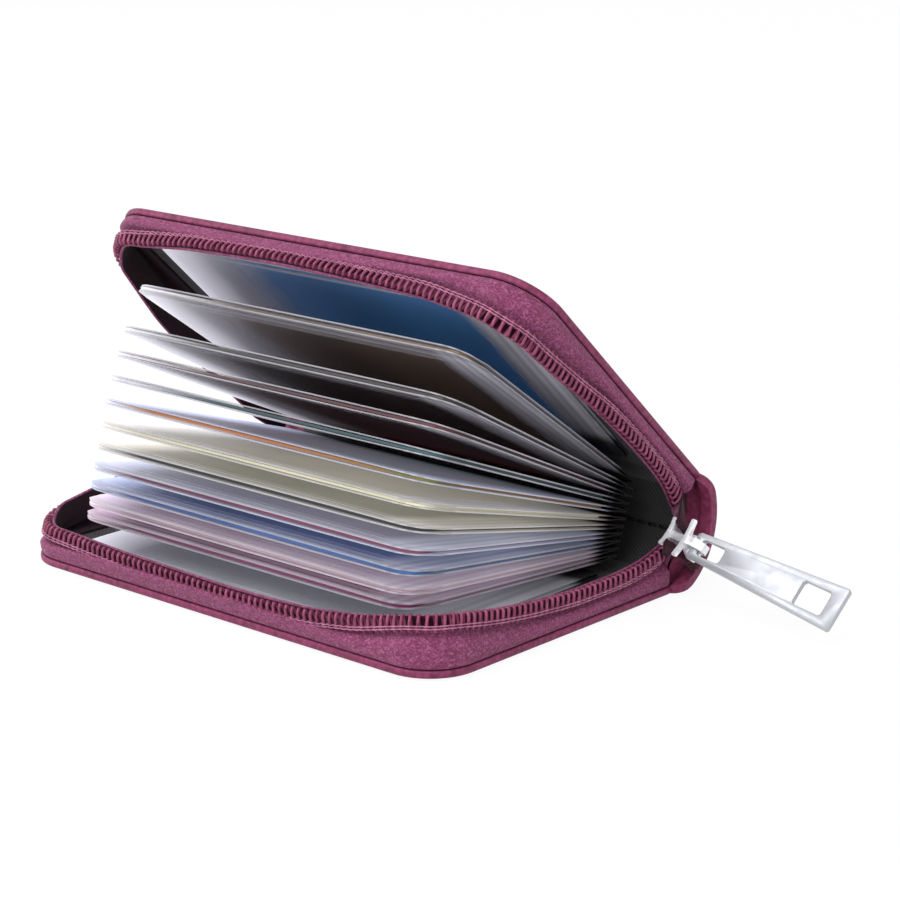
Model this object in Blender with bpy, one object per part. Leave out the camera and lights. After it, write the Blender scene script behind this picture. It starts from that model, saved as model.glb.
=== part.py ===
"""Zip card wallet, half open: two leather covers on a round spine, a coil zip round three
sides, its slider and pull, and a fan of clear pockets with cards.

Every piece is modelled zipped shut, in millimetres, in the frame of the cover or spine that
carries it, with the fold at y = 0. Empties on the folds then open the wallet to its rest pose.
+X runs along the spine to the slider's end, +Y out through the spine, +Z up.
"""
import math

import bmesh
import bpy
from mathutils import Matrix, Vector

MM = 0.001

# Cards and their pockets
CARD_LENGTH = 85.6
CARD_WIDTH = 54.0
CARD_THICKNESS = 0.45
CARD_CORNER = 3.18
CARD_SIDE_CLEARANCE = 0.3       # each side of the card in its pocket
CARD_FACE_CLEARANCE = 0.15      # each face of the card to its film
FILM_THICKNESS = 0.15
WELD_WIDTH = 1.1                # welded border at the pocket's short ends
BACK_WELD = 0.8                 # welded border beside the binding
MOUTH_SETBACK = 0.6             # card's front edge behind the pocket's mouth
PAGE_CORNER = 5.0
FLAP_LENGTH = 4.2               # thin flap between a pocket and its fold line
FLAP_THICKNESS = 0.25
FLAP_START = 0.2                # gap between the fold line and the flap
PAGE_COUNT = 11
PAGE_GAP = 0.38                 # between pockets when the wallet is shut
PAGE_SHIFT = -0.8               # pages sit a little towards the far end

# Covers, layer by layer from the outside
LEATHER_PANEL = 0.8
LEATHER_EDGE = 1.8              # where the leather is turned over
TURNED_EDGE_WIDTH = 5.0
SPINE_EDGE_WIDTH = 2.0
EDGE_ROUND = 0.6
BOARD_THICKNESS = 0.6
LINING_THICKNESS = 0.4
LAYER_GAP = 0.3
CORNER_RADIUS = 10.0
FOLD_GAP = 0.15                 # half of the gap between a cover and the spine at a fold
END_ROOM = 8.2                  # between the pages and the zip wall at each short end
MOUTH_ROOM = 1.3                # between the pages and the zip wall at the long side

# Zip wall: woven tape folded into a bulge, with a coil near its rim
TAPE_THICKNESS = 0.7
WEB_THICKNESS = 0.6
TAPE_FOOT = 3.5
BULGE_SETBACK = 0.05            # the bulge lies this far inside the leather's edge
RIM_GAP = 0.2                   # from the rim to the middle plane when shut
COIL_RIM_GAP = 0.45
COIL_WIDTH = 2.8
COIL_THICKNESS = 1.5
COIL_SETBACK = 0.2
COIL_PITCH = 1.5
PINCH_GAP = 0.7                 # from the pinch below the coil to the coil
CHAIN_NOTCH = 0.3
COIL_VALLEY = 0.72              # section between two turns, as a share of a turn's
COIL_START = 2.4                # coil's distance from the fold at both ends
WALL_START = 0.6                # tape's distance from the fold
RIM_FULL_AT = 1.8               # distance from the fold at which the rim has its full height
RIM_END_HEIGHT = 9.6
WALL_STEP = 7.5
FOLDED_ROOM = 0.68              # left inside the bulge where the wall has sunk most

# How far the unzipped walls sink, at distances round the cover from its near fold. They stand
# up at the near corner and sink between the corners.
SINK_BOTTOM = ((0, 3.7), (30, 3.7), (40, 3.0), (50, 1.8), (60, 0.2), (70, 0.3), (82, 2.7),
               (93, 3.7), (158, 3.7), (172, 3.5), (182, 2.0), (192, 0.5), (205, 0.0))
SINK_TOP = ((0, 3.7), (34, 3.7), (45, 2.5), (57, 1.3), (66, 1.2), (76, 2.7), (85, 3.7),
            (165, 3.7), (174, 3.2), (184, 1.8), (194, 0.4), (205, 0.0))

# Spine
SPINE_BULGE = 5.8
SPINE_LEATHER = 1.1
SPINE_OVERHANG = 2.5           # past the covers at each end
HEM_WIDTH = 4.0
HEM_EXTRA = 0.5
SPINE_LINING_SETBACK = 7.0      # lining's ends inside the covers' ends
LINING_MARGIN = 3.25            # lining's start above a cover's outer face
BINDING_SETBACK = 3.5           # pages' fold lines, inside the covers' folds
BINDING_THICKNESS = 0.3
PLEAT_DEPTH = 0.5
PLEAT_CLEARANCE = 0.33
BINDING_FLANGE = 3.4

# Slider, outboard of the walls at the spine's near end, in the spine's frame
SLIDER_OUTBOARD = 3.75          # slider's middle past the walls' outside
SLIDER_FROM_FOLDS = 4.9         # slider's middle inside the folds' line
SLIDER_HEIGHT = 9.956
SLIDER_ROLL = 18.6
SLIDER_DROOP = 8.0
SLIDER_NOSE = 4.25              # tips of the plates ahead of the slider's middle
SLIDER_TAIL = 2.75
OUTER_PLATE_WIDTH = 8.0         # across the tips
INNER_PLATE_WIDTH = 6.0
SLIDER_NECK = 3.0
SLIDER_BODY_WIDTH = 4.8
SLIDER_CHANNEL = 3.1            # between the plates
SLIDER_PLATE = 0.9
ARM_WIDTH = 0.75                # of the plates' tips, along the chain
POST_LENGTH = 2.6
POST_HALF_WIDTH = 0.75
PULL_AXIS_ALONG = 1.5           # towards the nose from the slider's middle
PULL_AXIS_HEIGHT = 1.4          # above the slider's outer plate
BRIDGE_INNER_RADIUS = 1.4
BRIDGE_OUTER_RADIUS = 2.2
BRIDGE_HALF_THICKNESS = 0.8

# Closed end of the chain
CHAIN_THICKNESS = 1.8
CHAIN_FRONT = 0.6               # its front behind the slider's middle, opened wallet
CHAIN_CURVE = ((0.0, 6.1, 0.9), (-0.6, 6.8, 0.85), (-1.9, 7.4, 0.6), (-3.0, 7.65, 0.45))

# Pull
PULL_REACH = 32.6               # from its axis to its free end
PULL_BEHIND = 0.9
PULL_THICKNESS = 1.2
PULL_NEAR_WIDTH = 5.4
PULL_FAR_WIDTH = 8.8
PULL_BAR = 1.7
PULL_WINDOW_LENGTH = 5.2
PULL_WINDOW_WIDTH = 3.2
PULL_HOLE_LENGTH = 6.2
PULL_HOLE_WIDTH = 4.8
PULL_END_BAR = 2.9
PULL_SWING = 4.6                # at rest, away from the slider's nose

# Rest pose, in degrees
OPENING = 42.8                  # between the covers
BOTTOM_PAGE_ANGLE = 4.0
UPPER_PAGE_ANGLE = 28.0         # the top page but one
TOP_PAGE_ANGLE = 35.0
FAN_CROWDING = 1.35             # above 1, the lower pages lie closer together
WORLD_SHIFT = 4.0               # origin's distance from the cover's middle, away from the fold

# Sizes that follow
POCKET_THICKNESS = CARD_THICKNESS + 2 * (CARD_FACE_CLEARANCE + FILM_THICKNESS)
PAGE_LENGTH = CARD_LENGTH + 2 * (CARD_SIDE_CLEARANCE + WELD_WIDTH)
PAGE_REACH = FLAP_LENGTH + BACK_WELD + CARD_WIDTH + MOUTH_SETBACK
BOARD_BASE = LEATHER_PANEL + LAYER_GAP
LINING_BASE = BOARD_BASE + BOARD_THICKNESS + LAYER_GAP
POCKET_BASE = LINING_BASE + LINING_THICKNESS + LAYER_GAP
PAGE_PITCH = POCKET_THICKNESS + PAGE_GAP
THICKNESS = 2 * (POCKET_BASE + POCKET_THICKNESS) + PAGE_COUNT * PAGE_PITCH + PAGE_GAP
MIDDLE = THICKNESS / 2
RIM_HEIGHT = MIDDLE - RIM_GAP
COIL_TOP = MIDDLE - COIL_RIM_GAP
COIL_BASE = COIL_TOP - COIL_WIDTH
COIL_INSIDE = COIL_SETBACK + COIL_THICKNESS
WEB_OUTSIDE = COIL_INSIDE + LAYER_GAP
WALL_DEPTH = WEB_OUTSIDE + WEB_THICKNESS
HALF_LENGTH = PAGE_LENGTH / 2 + END_ROOM + WALL_DEPTH
COVER_DEPTH = BINDING_SETBACK + PAGE_REACH + MOUTH_ROOM + WALL_DEPTH
SPINE_ANGLE = OPENING / 2
FOLD_Y = COVER_DEPTH / 2 + WORLD_SHIFT

# The round back of the spine: radius of its outside, and its centre behind the folds
SPINE_RADIUS = (MIDDLE ** 2 + SPINE_BULGE ** 2) / (2 * SPINE_BULGE)
SPINE_CENTRE = SPINE_BULGE - SPINE_RADIUS

CORNER_STEPS = 6
PAGE_CORNER_STEPS = 3
BRIDGE_STEPS = 8


def clear_scene():
    for thing in list(bpy.data.objects):
        bpy.data.objects.remove(thing, do_unlink=True)


def material(name, colour, roughness, metallic=0.0, alpha=1.0):
    made = bpy.data.materials.new(name)
    made.use_nodes = True
    shader = made.node_tree.nodes["Principled BSDF"]
    shader.inputs["Base Color"].default_value = (*colour, 1.0)
    shader.inputs["Roughness"].default_value = roughness
    shader.inputs["Metallic"].default_value = metallic
    shader.inputs["Alpha"].default_value = alpha
    made.diffuse_color = (*colour, alpha)
    return made


def object_from_bmesh(name, bm, finish, parent=None):
    """Turn a millimetre bmesh into an object in metres."""
    bmesh.ops.remove_doubles(bm, verts=bm.verts, dist=1e-5)
    bmesh.ops.recalc_face_normals(bm, faces=bm.faces)
    bmesh.ops.scale(bm, vec=(MM, MM, MM), verts=bm.verts)
    mesh = bpy.data.meshes.new(name)
    bm.to_mesh(mesh)
    bm.free()
    mesh.materials.append(finish)
    made = bpy.data.objects.new(name, mesh)
    bpy.context.scene.collection.objects.link(made)
    made.parent = parent
    return made


def smooth(thing, angle=40.0):
    thing.data.shade_smooth()
    thing.data.set_sharp_from_angle(angle=math.radians(angle))


def rings_to_solid(bm, rings):
    """Join closed rings of equal count into a tube and close both ends."""
    made = [[bm.verts.new(point) for point in ring] for ring in rings]
    count = len(made[0])
    for first, second in zip(made, made[1:]):
        for i in range(count):
            j = (i + 1) % count
            bm.faces.new((first[i], first[j], second[j], second[i]))
    bm.faces.new(made[0][::-1])
    bm.faces.new(made[-1])


def prism(outline, low, high, axis="Z"):
    """Extrude a closed outline of pairs along one axis."""
    def place(pair, level):
        a, b = pair
        return {"Z": (a, b, level), "X": (level, a, b), "Y": (a, level, b)}[axis]
    bm = bmesh.new()
    rings_to_solid(bm, [[place(p, low) for p in outline], [place(p, high) for p in outline]])
    bmesh.ops.recalc_face_normals(bm, faces=bm.faces)
    return bm


def arc(cx, cy, radius, start, end, steps):
    points = []
    for i in range(steps + 1):
        angle = math.radians(start + (end - start) * i / steps)
        points.append((cx + radius * math.cos(angle), cy + radius * math.sin(angle)))
    return points


def rounded_rectangle(x0, x1, y0, y1, radius, steps):
    """Outline with four equal round corners, counter-clockwise."""
    return (arc(x1 - radius, y1 - radius, radius, 0, 90, steps)
            + arc(x0 + radius, y1 - radius, radius, 90, 180, steps)
            + arc(x0 + radius, y0 + radius, radius, 180, 270, steps)
            + arc(x1 - radius, y0 + radius, radius, 270, 360, steps))


def cover_outline(inset, spine_inset=0.0):
    """A cover's plan, drawn in by inset, with its two free corners round."""
    half = HALF_LENGTH - inset
    radius = max(CORNER_RADIUS - inset, 1.0)
    front = -(COVER_DEPTH - inset)
    back = -(FOLD_GAP + spine_inset)
    outline = [(half, back), (-half, back)]
    outline += arc(-half + radius, front + radius, radius, 180, 270, CORNER_STEPS)
    outline += arc(half - radius, front + radius, radius, 270, 360, CORNER_STEPS)
    return outline


def boolean(target, tool_bm, operation, name="tool"):
    """Cut or join a millimetre bmesh into a finished object, and keep the result as its mesh."""
    tool = object_from_bmesh(name, tool_bm, target.data.materials[0], target.parent)
    tool.matrix_basis = target.matrix_basis
    tool.hide_render = True
    tool.display_type = "WIRE"
    modifier = target.modifiers.new(name, "BOOLEAN")
    modifier.operation = operation
    modifier.solver = "EXACT"
    modifier.object = tool
    bpy.context.view_layer.update()
    graph = bpy.context.evaluated_depsgraph_get()
    result = bpy.data.meshes.new_from_object(target.evaluated_get(graph))
    target.modifiers.remove(modifier)
    old = target.data
    target.data = result
    result.name = target.name
    bpy.data.objects.remove(tool, do_unlink=True)
    bpy.data.meshes.remove(old)


def upright(bm, flip):
    """Mirror a bottom-cover piece into the top cover's frame, whose outer face is z = 0."""
    if flip:
        bmesh.ops.scale(bm, vec=(1, 1, -1), verts=bm.verts)
        bmesh.ops.reverse_faces(bm, faces=bm.faces)
    return bm


def make_cover_leather(name, finish, parent, flip):
    """Leather panel with its edge turned over on the inside and rounded on the outside."""
    round_low = EDGE_ROUND * 0.3
    levels = [(EDGE_ROUND, 0.0, 0.0), (round_low, round_low, 0.0), (0.0, EDGE_ROUND, 0.0),
              (0.0, LEATHER_EDGE - EDGE_ROUND, 0.0), (round_low, LEATHER_EDGE - round_low, 0.0),
              (EDGE_ROUND, LEATHER_EDGE, 0.0), (TURNED_EDGE_WIDTH, LEATHER_EDGE, SPINE_EDGE_WIDTH),
              (TURNED_EDGE_WIDTH, LEATHER_PANEL, SPINE_EDGE_WIDTH)]
    bm = bmesh.new()
    rings_to_solid(bm, [[(x, y, height) for x, y in cover_outline(inset, back)]
                        for inset, height, back in levels])
    made = object_from_bmesh(name, upright(bm, flip), finish, parent)
    smooth(made)
    return made


def make_cover_layer(name, finish, parent, flip, inset, base, thickness):
    outline = cover_outline(inset, SPINE_EDGE_WIDTH + LAYER_GAP)
    return object_from_bmesh(name, upright(prism(outline, base, base + thickness), flip),
                             finish, parent)


def wall_path(near_start, far_start, depth, straight_step=None, corner_steps=CORNER_STEPS):
    """Stations round the three zipped sides: point, outward normal, and distance round the
    cover's outline from the near fold. depth is how far the path lies inside the leather's edge.
    """
    radius = CORNER_RADIUS - depth
    half = HALF_LENGTH - depth
    front = -(COVER_DEPTH - depth)
    corner_y = front + radius
    corner_x = half - radius

    def run(first, second, out, start, sign):
        count = 1
        if straight_step:
            count = max(1, round((second - first).length / straight_step))
        made = []
        for i in range(count):
            point = first.lerp(second, i / count)
            made.append((point, Vector(out), start + sign * (point.x if out[1] else point.y)))
        return made

    def corner(x, turns, start):
        made = []
        for i in range(corner_steps):
            angle = -math.pi / 2 * (turns + i / corner_steps)
            out = Vector((math.cos(angle), math.sin(angle)))
            distance = start + math.pi / 2 * CORNER_RADIUS * i / corner_steps
            made.append((Vector((x, corner_y)) + out * radius, out, distance))
        return made

    side_length = COVER_DEPTH - CORNER_RADIUS
    quarter = math.pi / 2 * CORNER_RADIUS
    front_start = side_length + quarter
    far_corner = front_start + 2 * (HALF_LENGTH - CORNER_RADIUS)
    far_side = far_corner + quarter
    stations = run(Vector((half, -near_start)), Vector((half, corner_y)), (1, 0), 0.0, -1)
    stations += corner(corner_x, 0, side_length)
    stations += run(Vector((corner_x, front)), Vector((-corner_x, front)), (0, -1),
                    front_start + corner_x, -1)
    stations += corner(-corner_x, 1, far_corner)
    stations += run(Vector((-half, corner_y)), Vector((-half, -far_start)), (-1, 0),
                    far_side + side_length, 1)
    stations.append((Vector((-half, -far_start)), Vector((-1, 0)),
                     far_side + side_length - far_start))
    return stations


def sink_at(distance, profile):
    """How far the wall has sunk at a distance round the cover."""
    for (first, low), (second, high) in zip(profile, profile[1:]):
        if distance <= second:
            return low + (high - low) * max(0.0, distance - first) / (second - first)
    return profile[-1][1]


def tape_section(rim, sink=0.0):
    """Zip wall as (depth inside the leather's edge, height), up the outside and back down.

    From the foot under the lining the tape bulges out, pinches in and stands up as the thin
    web that carries the coil; rim is the height of its rolled lip. Where the wall has sunk,
    the bulge is flatter and all above it is lower.
    """
    base = LEATHER_EDGE + LAYER_GAP
    pinch = COIL_BASE - PINCH_GAP
    mid = (base + pinch) / 2
    inner = BULGE_SETBACK + TAPE_THICKNESS
    floor = base + TAPE_THICKNESS
    knee = pinch - 1.7
    first = min(sink, knee - floor - FOLDED_ROOM)

    def lowered(height):
        if height <= floor:
            return height
        if height <= knee:
            return height - first * (height - floor) / (knee - floor)
        share = min(1.0, (height - knee) / (pinch - knee))
        return height - first - (sink - first) * share

    section = [(TAPE_FOOT, base), (1.3, base), (0.35, base + 0.6),
               (BULGE_SETBACK, mid - 0.9), (BULGE_SETBACK, mid + 0.5), (0.5, pinch - 1.2),
               (COIL_INSIDE - 0.1, pinch - 0.5), (WEB_OUTSIDE, pinch),
               (WEB_OUTSIDE, rim - 0.35), (WEB_OUTSIDE + 0.2, rim), (WALL_DEPTH, rim - 0.15),
               (WALL_DEPTH, pinch + 0.1), (WALL_DEPTH - 0.5, pinch - 1.0),
               (inner + 0.5, knee), (inner, mid + 0.3), (inner, mid - 0.8),
               (inner + 0.35, floor + 0.4), (inner + 1.1, floor), (TAPE_FOOT, floor)]
    return [(depth, lowered(height)) for depth, height in section]


def make_zip_tape(name, finish, parent, flip, profile):
    stations = wall_path(WALL_START, WALL_START, 0.0, WALL_STEP)
    full = Vector((0, RIM_FULL_AT - WALL_START))
    near, far = stations[0], stations[-1]
    low_ends = (near, far)
    path = [near, (near[0] - full, near[1], near[2])] + stations[1:-1]
    path += [(far[0] - full, far[1], far[2]), far]
    rings = []
    for station in path:
        point, out, distance = station
        rim = RIM_END_HEIGHT if station in low_ends else RIM_HEIGHT
        rings.append([(point.x - out.x * depth, point.y - out.y * depth, height)
                      for depth, height in tape_section(rim, sink_at(distance, profile))])
    bm = bmesh.new()
    rings_to_solid(bm, rings)
    made = object_from_bmesh(name, upright(bm, flip), finish, parent)
    smooth(made, 60.0)
    return made


def make_zip_coil(name, finish, parent, flip, profile):
    """Nylon coil as one unbroken ribbed cord: two sections a turn, each leaning as the
    strands of a coil do, one way outside and the other way inside."""
    depth_mid = COIL_SETBACK + COIL_THICKNESS / 2
    height_mid = COIL_BASE + COIL_WIDTH / 2
    corner_length = math.pi / 2 * (CORNER_RADIUS - depth_mid)
    corner_turns = max(2, round(corner_length / (COIL_PITCH / 2)))
    stations = wall_path(COIL_START, COIL_START, depth_mid,
                         COIL_PITCH / 2, corner_turns)
    section = [(-1.0, 0.45), (-0.45, 1.0), (0.75, 0.8), (0.75, -0.8), (-0.45, -1.0),
               (-1.0, -0.45)]
    lean = COIL_PITCH / 5
    rings = []
    for i, (point, out, distance) in enumerate(stations):
        along = Vector((out.y, -out.x))
        middle = height_mid - sink_at(distance, profile)
        size = 1.0 if i % 2 == 0 else COIL_VALLEY
        ring = []
        for depth_share, height_share in section:
            depth = depth_mid + depth_share * COIL_THICKNESS / 2 * size
            height = middle + height_share * COIL_WIDTH / 2 * (0.5 + 0.5 * size)
            shift = lean * height_share * (1 if depth_share < 0 else -1)
            if i in (0, len(stations) - 1):
                shift = 0.0
            offset = out * (depth_mid - depth) + along * shift
            ring.append((point.x + offset.x, point.y + offset.y, height))
        rings.append(ring)
    bm = bmesh.new()
    rings_to_solid(bm, rings)
    made = object_from_bmesh(name, upright(bm, flip), finish, parent)
    smooth(made, 30.0)
    return made


def make_pocket(name, finish, parent):
    """Two films welded round three sides, open at the long free edge, with a thin flap
    towards its fold line. The pocket lies along -Y with its fold line at the origin."""
    half = PAGE_LENGTH / 2
    thick = POCKET_THICKNESS / 2
    outline = rounded_rectangle(-half, half, -PAGE_REACH, -FLAP_LENGTH, PAGE_CORNER,
                                PAGE_CORNER_STEPS)
    made = object_from_bmesh(name, prism(outline, -thick, thick), finish, parent)
    slot_half = CARD_LENGTH / 2 + CARD_SIDE_CLEARANCE
    slot_thick = thick - FILM_THICKNESS
    slot = prism([(-slot_half, -PAGE_REACH - 1), (slot_half, -PAGE_REACH - 1),
                  (slot_half, -FLAP_LENGTH - BACK_WELD + CARD_SIDE_CLEARANCE),
                  (-slot_half, -FLAP_LENGTH - BACK_WELD + CARD_SIDE_CLEARANCE)],
                 -slot_thick, slot_thick)
    boolean(made, slot, "DIFFERENCE")
    return made


def add_flap(page):
    half = PAGE_LENGTH / 2 - PAGE_CORNER
    flap = prism([(-half, -FLAP_LENGTH - 0.5), (half, -FLAP_LENGTH - 0.5),
                  (half, -FLAP_START), (-half, -FLAP_START)],
                 -FLAP_THICKNESS / 2, FLAP_THICKNESS / 2)
    boolean(page, flap, "UNION")


def make_card(name, finish, parent):
    half = CARD_LENGTH / 2
    back = -FLAP_LENGTH - BACK_WELD
    outline = rounded_rectangle(-half, half, back - CARD_WIDTH, back, CARD_CORNER,
                                PAGE_CORNER_STEPS)
    return object_from_bmesh(name, prism(outline, -CARD_THICKNESS / 2, CARD_THICKNESS / 2),
                             finish, parent)


def spine_arc(radius, low, high, steps):
    """Points (y, z) on the spine's back at one radius, between two heights."""
    start = math.asin((low - MIDDLE) / radius)
    end = math.asin((high - MIDDLE) / radius)
    points = []
    for i in range(steps + 1):
        angle = start + (end - start) * i / steps
        points.append((SPINE_CENTRE + radius * math.cos(angle),
                       MIDDLE + radius * math.sin(angle)))
    return points


def arc_height_at(radius, y):
    """Height above the middle at which an arc of the spine passes a given y."""
    return math.sqrt(radius ** 2 - (y - SPINE_CENTRE) ** 2)


def make_spine_leather(finish, parent):
    """Round back that meets both covers at the folds, with a hem turned in at each end."""
    steps = 14
    reach = HALF_LENGTH + SPINE_OVERHANG
    outer_drop = arc_height_at(SPINE_RADIUS, FOLD_GAP)
    outer = spine_arc(SPINE_RADIUS, MIDDLE - outer_drop, MIDDLE + outer_drop, steps)
    rings = []
    stations = [(-reach, 0.5), (-reach + 0.5, 1.0), (-reach + HEM_WIDTH - 0.4, 1.0),
                (-reach + HEM_WIDTH, 0.0), (reach - HEM_WIDTH, 0.0),
                (reach - HEM_WIDTH + 0.4, 1.0), (reach - 0.5, 1.0), (reach, 0.5)]
    for x, hem in stations:
        inner_radius = SPINE_RADIUS - SPINE_LEATHER - HEM_EXTRA * hem
        outer_shrink = 0.5 if abs(x) == reach else 0.0
        inner_drop = arc_height_at(inner_radius, FOLD_GAP)
        inner = spine_arc(inner_radius, MIDDLE - inner_drop, MIDDLE + inner_drop, steps)
        if outer_shrink:
            drop = arc_height_at(SPINE_RADIUS - outer_shrink, FOLD_GAP)
            outside = spine_arc(SPINE_RADIUS - outer_shrink, MIDDLE - drop, MIDDLE + drop, steps)
        else:
            outside = outer
        rings.append([(x, y, z) for y, z in outside] + [(x, y, z) for y, z in inner[::-1]])
    bm = bmesh.new()
    rings_to_solid(bm, rings)
    made = object_from_bmesh("spine_leather", bm, finish, parent)
    smooth(made)
    return made


def make_spine_lining(finish, parent):
    outside = SPINE_RADIUS - SPINE_LEATHER - LAYER_GAP
    inside = outside - LINING_THICKNESS
    low, high = LINING_MARGIN, THICKNESS - LINING_MARGIN
    steps = 10
    outline = spine_arc(outside, low, high, steps) + spine_arc(inside, low, high, steps)[::-1]
    half = HALF_LENGTH - SPINE_LINING_SETBACK
    made = object_from_bmesh("spine_lining", prism(outline, -half, half, "X"), finish, parent)
    smooth(made)
    return made


def page_height(index):
    """Height of a page's fold line above the bottom cover's outer face, wallet shut."""
    return (POCKET_BASE + POCKET_THICKNESS + PAGE_GAP + POCKET_THICKNESS / 2
            + index * PAGE_PITCH)


def make_binding(finish, parent):
    """Pleated strip that holds the pages: a crest at each page, flanges to the spine lining."""
    front = -(BINDING_SETBACK - PLEAT_CLEARANCE)
    low = BINDING_FLANGE
    high = THICKNESS - BINDING_FLANGE
    back = SPINE_CENTRE + math.sqrt((SPINE_RADIUS - SPINE_LEATHER - 2 * LAYER_GAP
                                     - LINING_THICKNESS) ** 2 - (MIDDLE - low) ** 2)
    first = page_height(0) - PAGE_PITCH / 2
    ridge = [(front + PLEAT_DEPTH, first)]
    for i in range(PAGE_COUNT):
        ridge.append((front, page_height(i)))
        ridge.append((front + PLEAT_DEPTH, page_height(i) + PAGE_PITCH / 2))
    thick = BINDING_THICKNESS
    outline = [(back, low), (front + PLEAT_DEPTH, low)] + ridge
    outline += [(front + PLEAT_DEPTH, high), (back, high), (back, high - thick),
                (front + PLEAT_DEPTH + thick, high - thick)]
    outline += [(y + thick, z) for y, z in ridge[::-1]]
    outline += [(front + PLEAT_DEPTH + thick, low + thick), (back, low + thick)]
    half = PAGE_LENGTH / 2 - PAGE_CORNER
    bm = prism(outline, PAGE_SHIFT - half, PAGE_SHIFT + half, "X")
    return object_from_bmesh("page_binding", bm, finish, parent)


def slider_plate(width):
    """Plate's outline: two arms at the nose, a neck behind them and a rounded body."""
    nose = -SLIDER_NOSE
    tip = width / 2
    neck = SLIDER_NECK / 2
    body = SLIDER_BODY_WIDTH / 2
    side = [(nose + 0.5, 0.0), (nose + 0.4, neck), (nose, tip - 0.3), (nose + 0.3, tip),
            (nose + ARM_WIDTH, tip - 0.2), (nose + ARM_WIDTH + 0.5, neck + 0.3),
            (nose + ARM_WIDTH + 1.0, neck), (0.3, body), (SLIDER_TAIL - 0.7, body - 0.1),
            (SLIDER_TAIL, body - 0.8)]
    return side + [(y, -z) for y, z in side[:0:-1]]


def make_slider(finish, parent):
    """Cast slider: two plates on a diamond post and an arched bridge for the pull. Its frame
    has X out of the outer plate and the nose towards -Y."""
    inner = SLIDER_CHANNEL / 2
    outer = inner + SLIDER_PLATE
    plate = slider_plate(OUTER_PLATE_WIDTH)
    made = object_from_bmesh("zip_slider", prism(plate, inner, outer, "X"), finish, parent)
    boolean(made, prism(slider_plate(INNER_PLATE_WIDTH), -outer, -inner, "X"), "UNION")
    post_front = -SLIDER_NOSE + 0.7
    post_back = -SLIDER_NOSE + POST_LENGTH
    post = [(post_front, 0.0), (post_front + 0.8, -POST_HALF_WIDTH), (post_back - 0.5, -0.4),
            (post_back, 0.0), (post_back - 0.5, 0.4), (post_front + 0.8, POST_HALF_WIDTH)]
    sunk = SLIDER_PLATE / 2
    boolean(made, prism(post, -inner - sunk, inner + sunk, "X"), "UNION")
    axis_x = outer + PULL_AXIS_HEIGHT
    axis_y = -PULL_AXIS_ALONG
    root = outer - sunk
    arch = [(root, axis_y - BRIDGE_OUTER_RADIUS)]
    arch += arc(axis_x, axis_y, BRIDGE_OUTER_RADIUS, -90, 90, BRIDGE_STEPS)
    arch += [(root, axis_y + BRIDGE_OUTER_RADIUS), (root, axis_y + BRIDGE_INNER_RADIUS)]
    arch += arc(axis_x, axis_y, BRIDGE_INNER_RADIUS, 90, -90, BRIDGE_STEPS)
    arch += [(root, axis_y - BRIDGE_INNER_RADIUS)]
    boolean(made, prism(arch, -BRIDGE_HALF_THICKNESS, BRIDGE_HALF_THICKNESS), "UNION")
    smooth(made, 30.0)
    return made


def make_pull(finish, parent):
    """Flat tapered pull along +X with its width along Z: the bar that hangs in the slider's
    bridge, the window that lets it swing, and a square hole at the free end."""
    near = -PULL_BEHIND
    outline = [(near, -PULL_NEAR_WIDTH / 2 + 0.5), (near + 0.5, -PULL_NEAR_WIDTH / 2),
               (PULL_REACH - 0.4, -PULL_FAR_WIDTH / 2), (PULL_REACH, -PULL_FAR_WIDTH / 2 + 0.4),
               (PULL_REACH, PULL_FAR_WIDTH / 2 - 0.4), (PULL_REACH - 0.4, PULL_FAR_WIDTH / 2),
               (near + 0.5, PULL_NEAR_WIDTH / 2), (near, PULL_NEAR_WIDTH / 2 - 0.5)]
    thick = PULL_THICKNESS / 2
    made = object_from_bmesh("zip_pull", prism(outline, -thick, thick, "Y"), finish, parent)
    window_start = near + PULL_BAR
    window = rounded_rectangle(window_start, window_start + PULL_WINDOW_LENGTH,
                               -PULL_WINDOW_WIDTH / 2, PULL_WINDOW_WIDTH / 2, 0.7, 2)
    boolean(made, prism(window, -thick - 1, thick + 1, "Y"), "DIFFERENCE")
    hole_end = PULL_REACH - PULL_END_BAR
    hole = rounded_rectangle(hole_end - PULL_HOLE_LENGTH, hole_end,
                             -PULL_HOLE_WIDTH / 2, PULL_HOLE_WIDTH / 2, 0.4, 1)
    boolean(made, prism(hole, -thick - 1, thick + 1, "Y"), "DIFFERENCE")
    bevel = made.modifiers.new("edges", "BEVEL")
    bevel.width = 0.15 * MM
    bevel.segments = 1
    bevel.limit_method = "ANGLE"
    bevel.angle_limit = math.radians(50)
    return made


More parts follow.
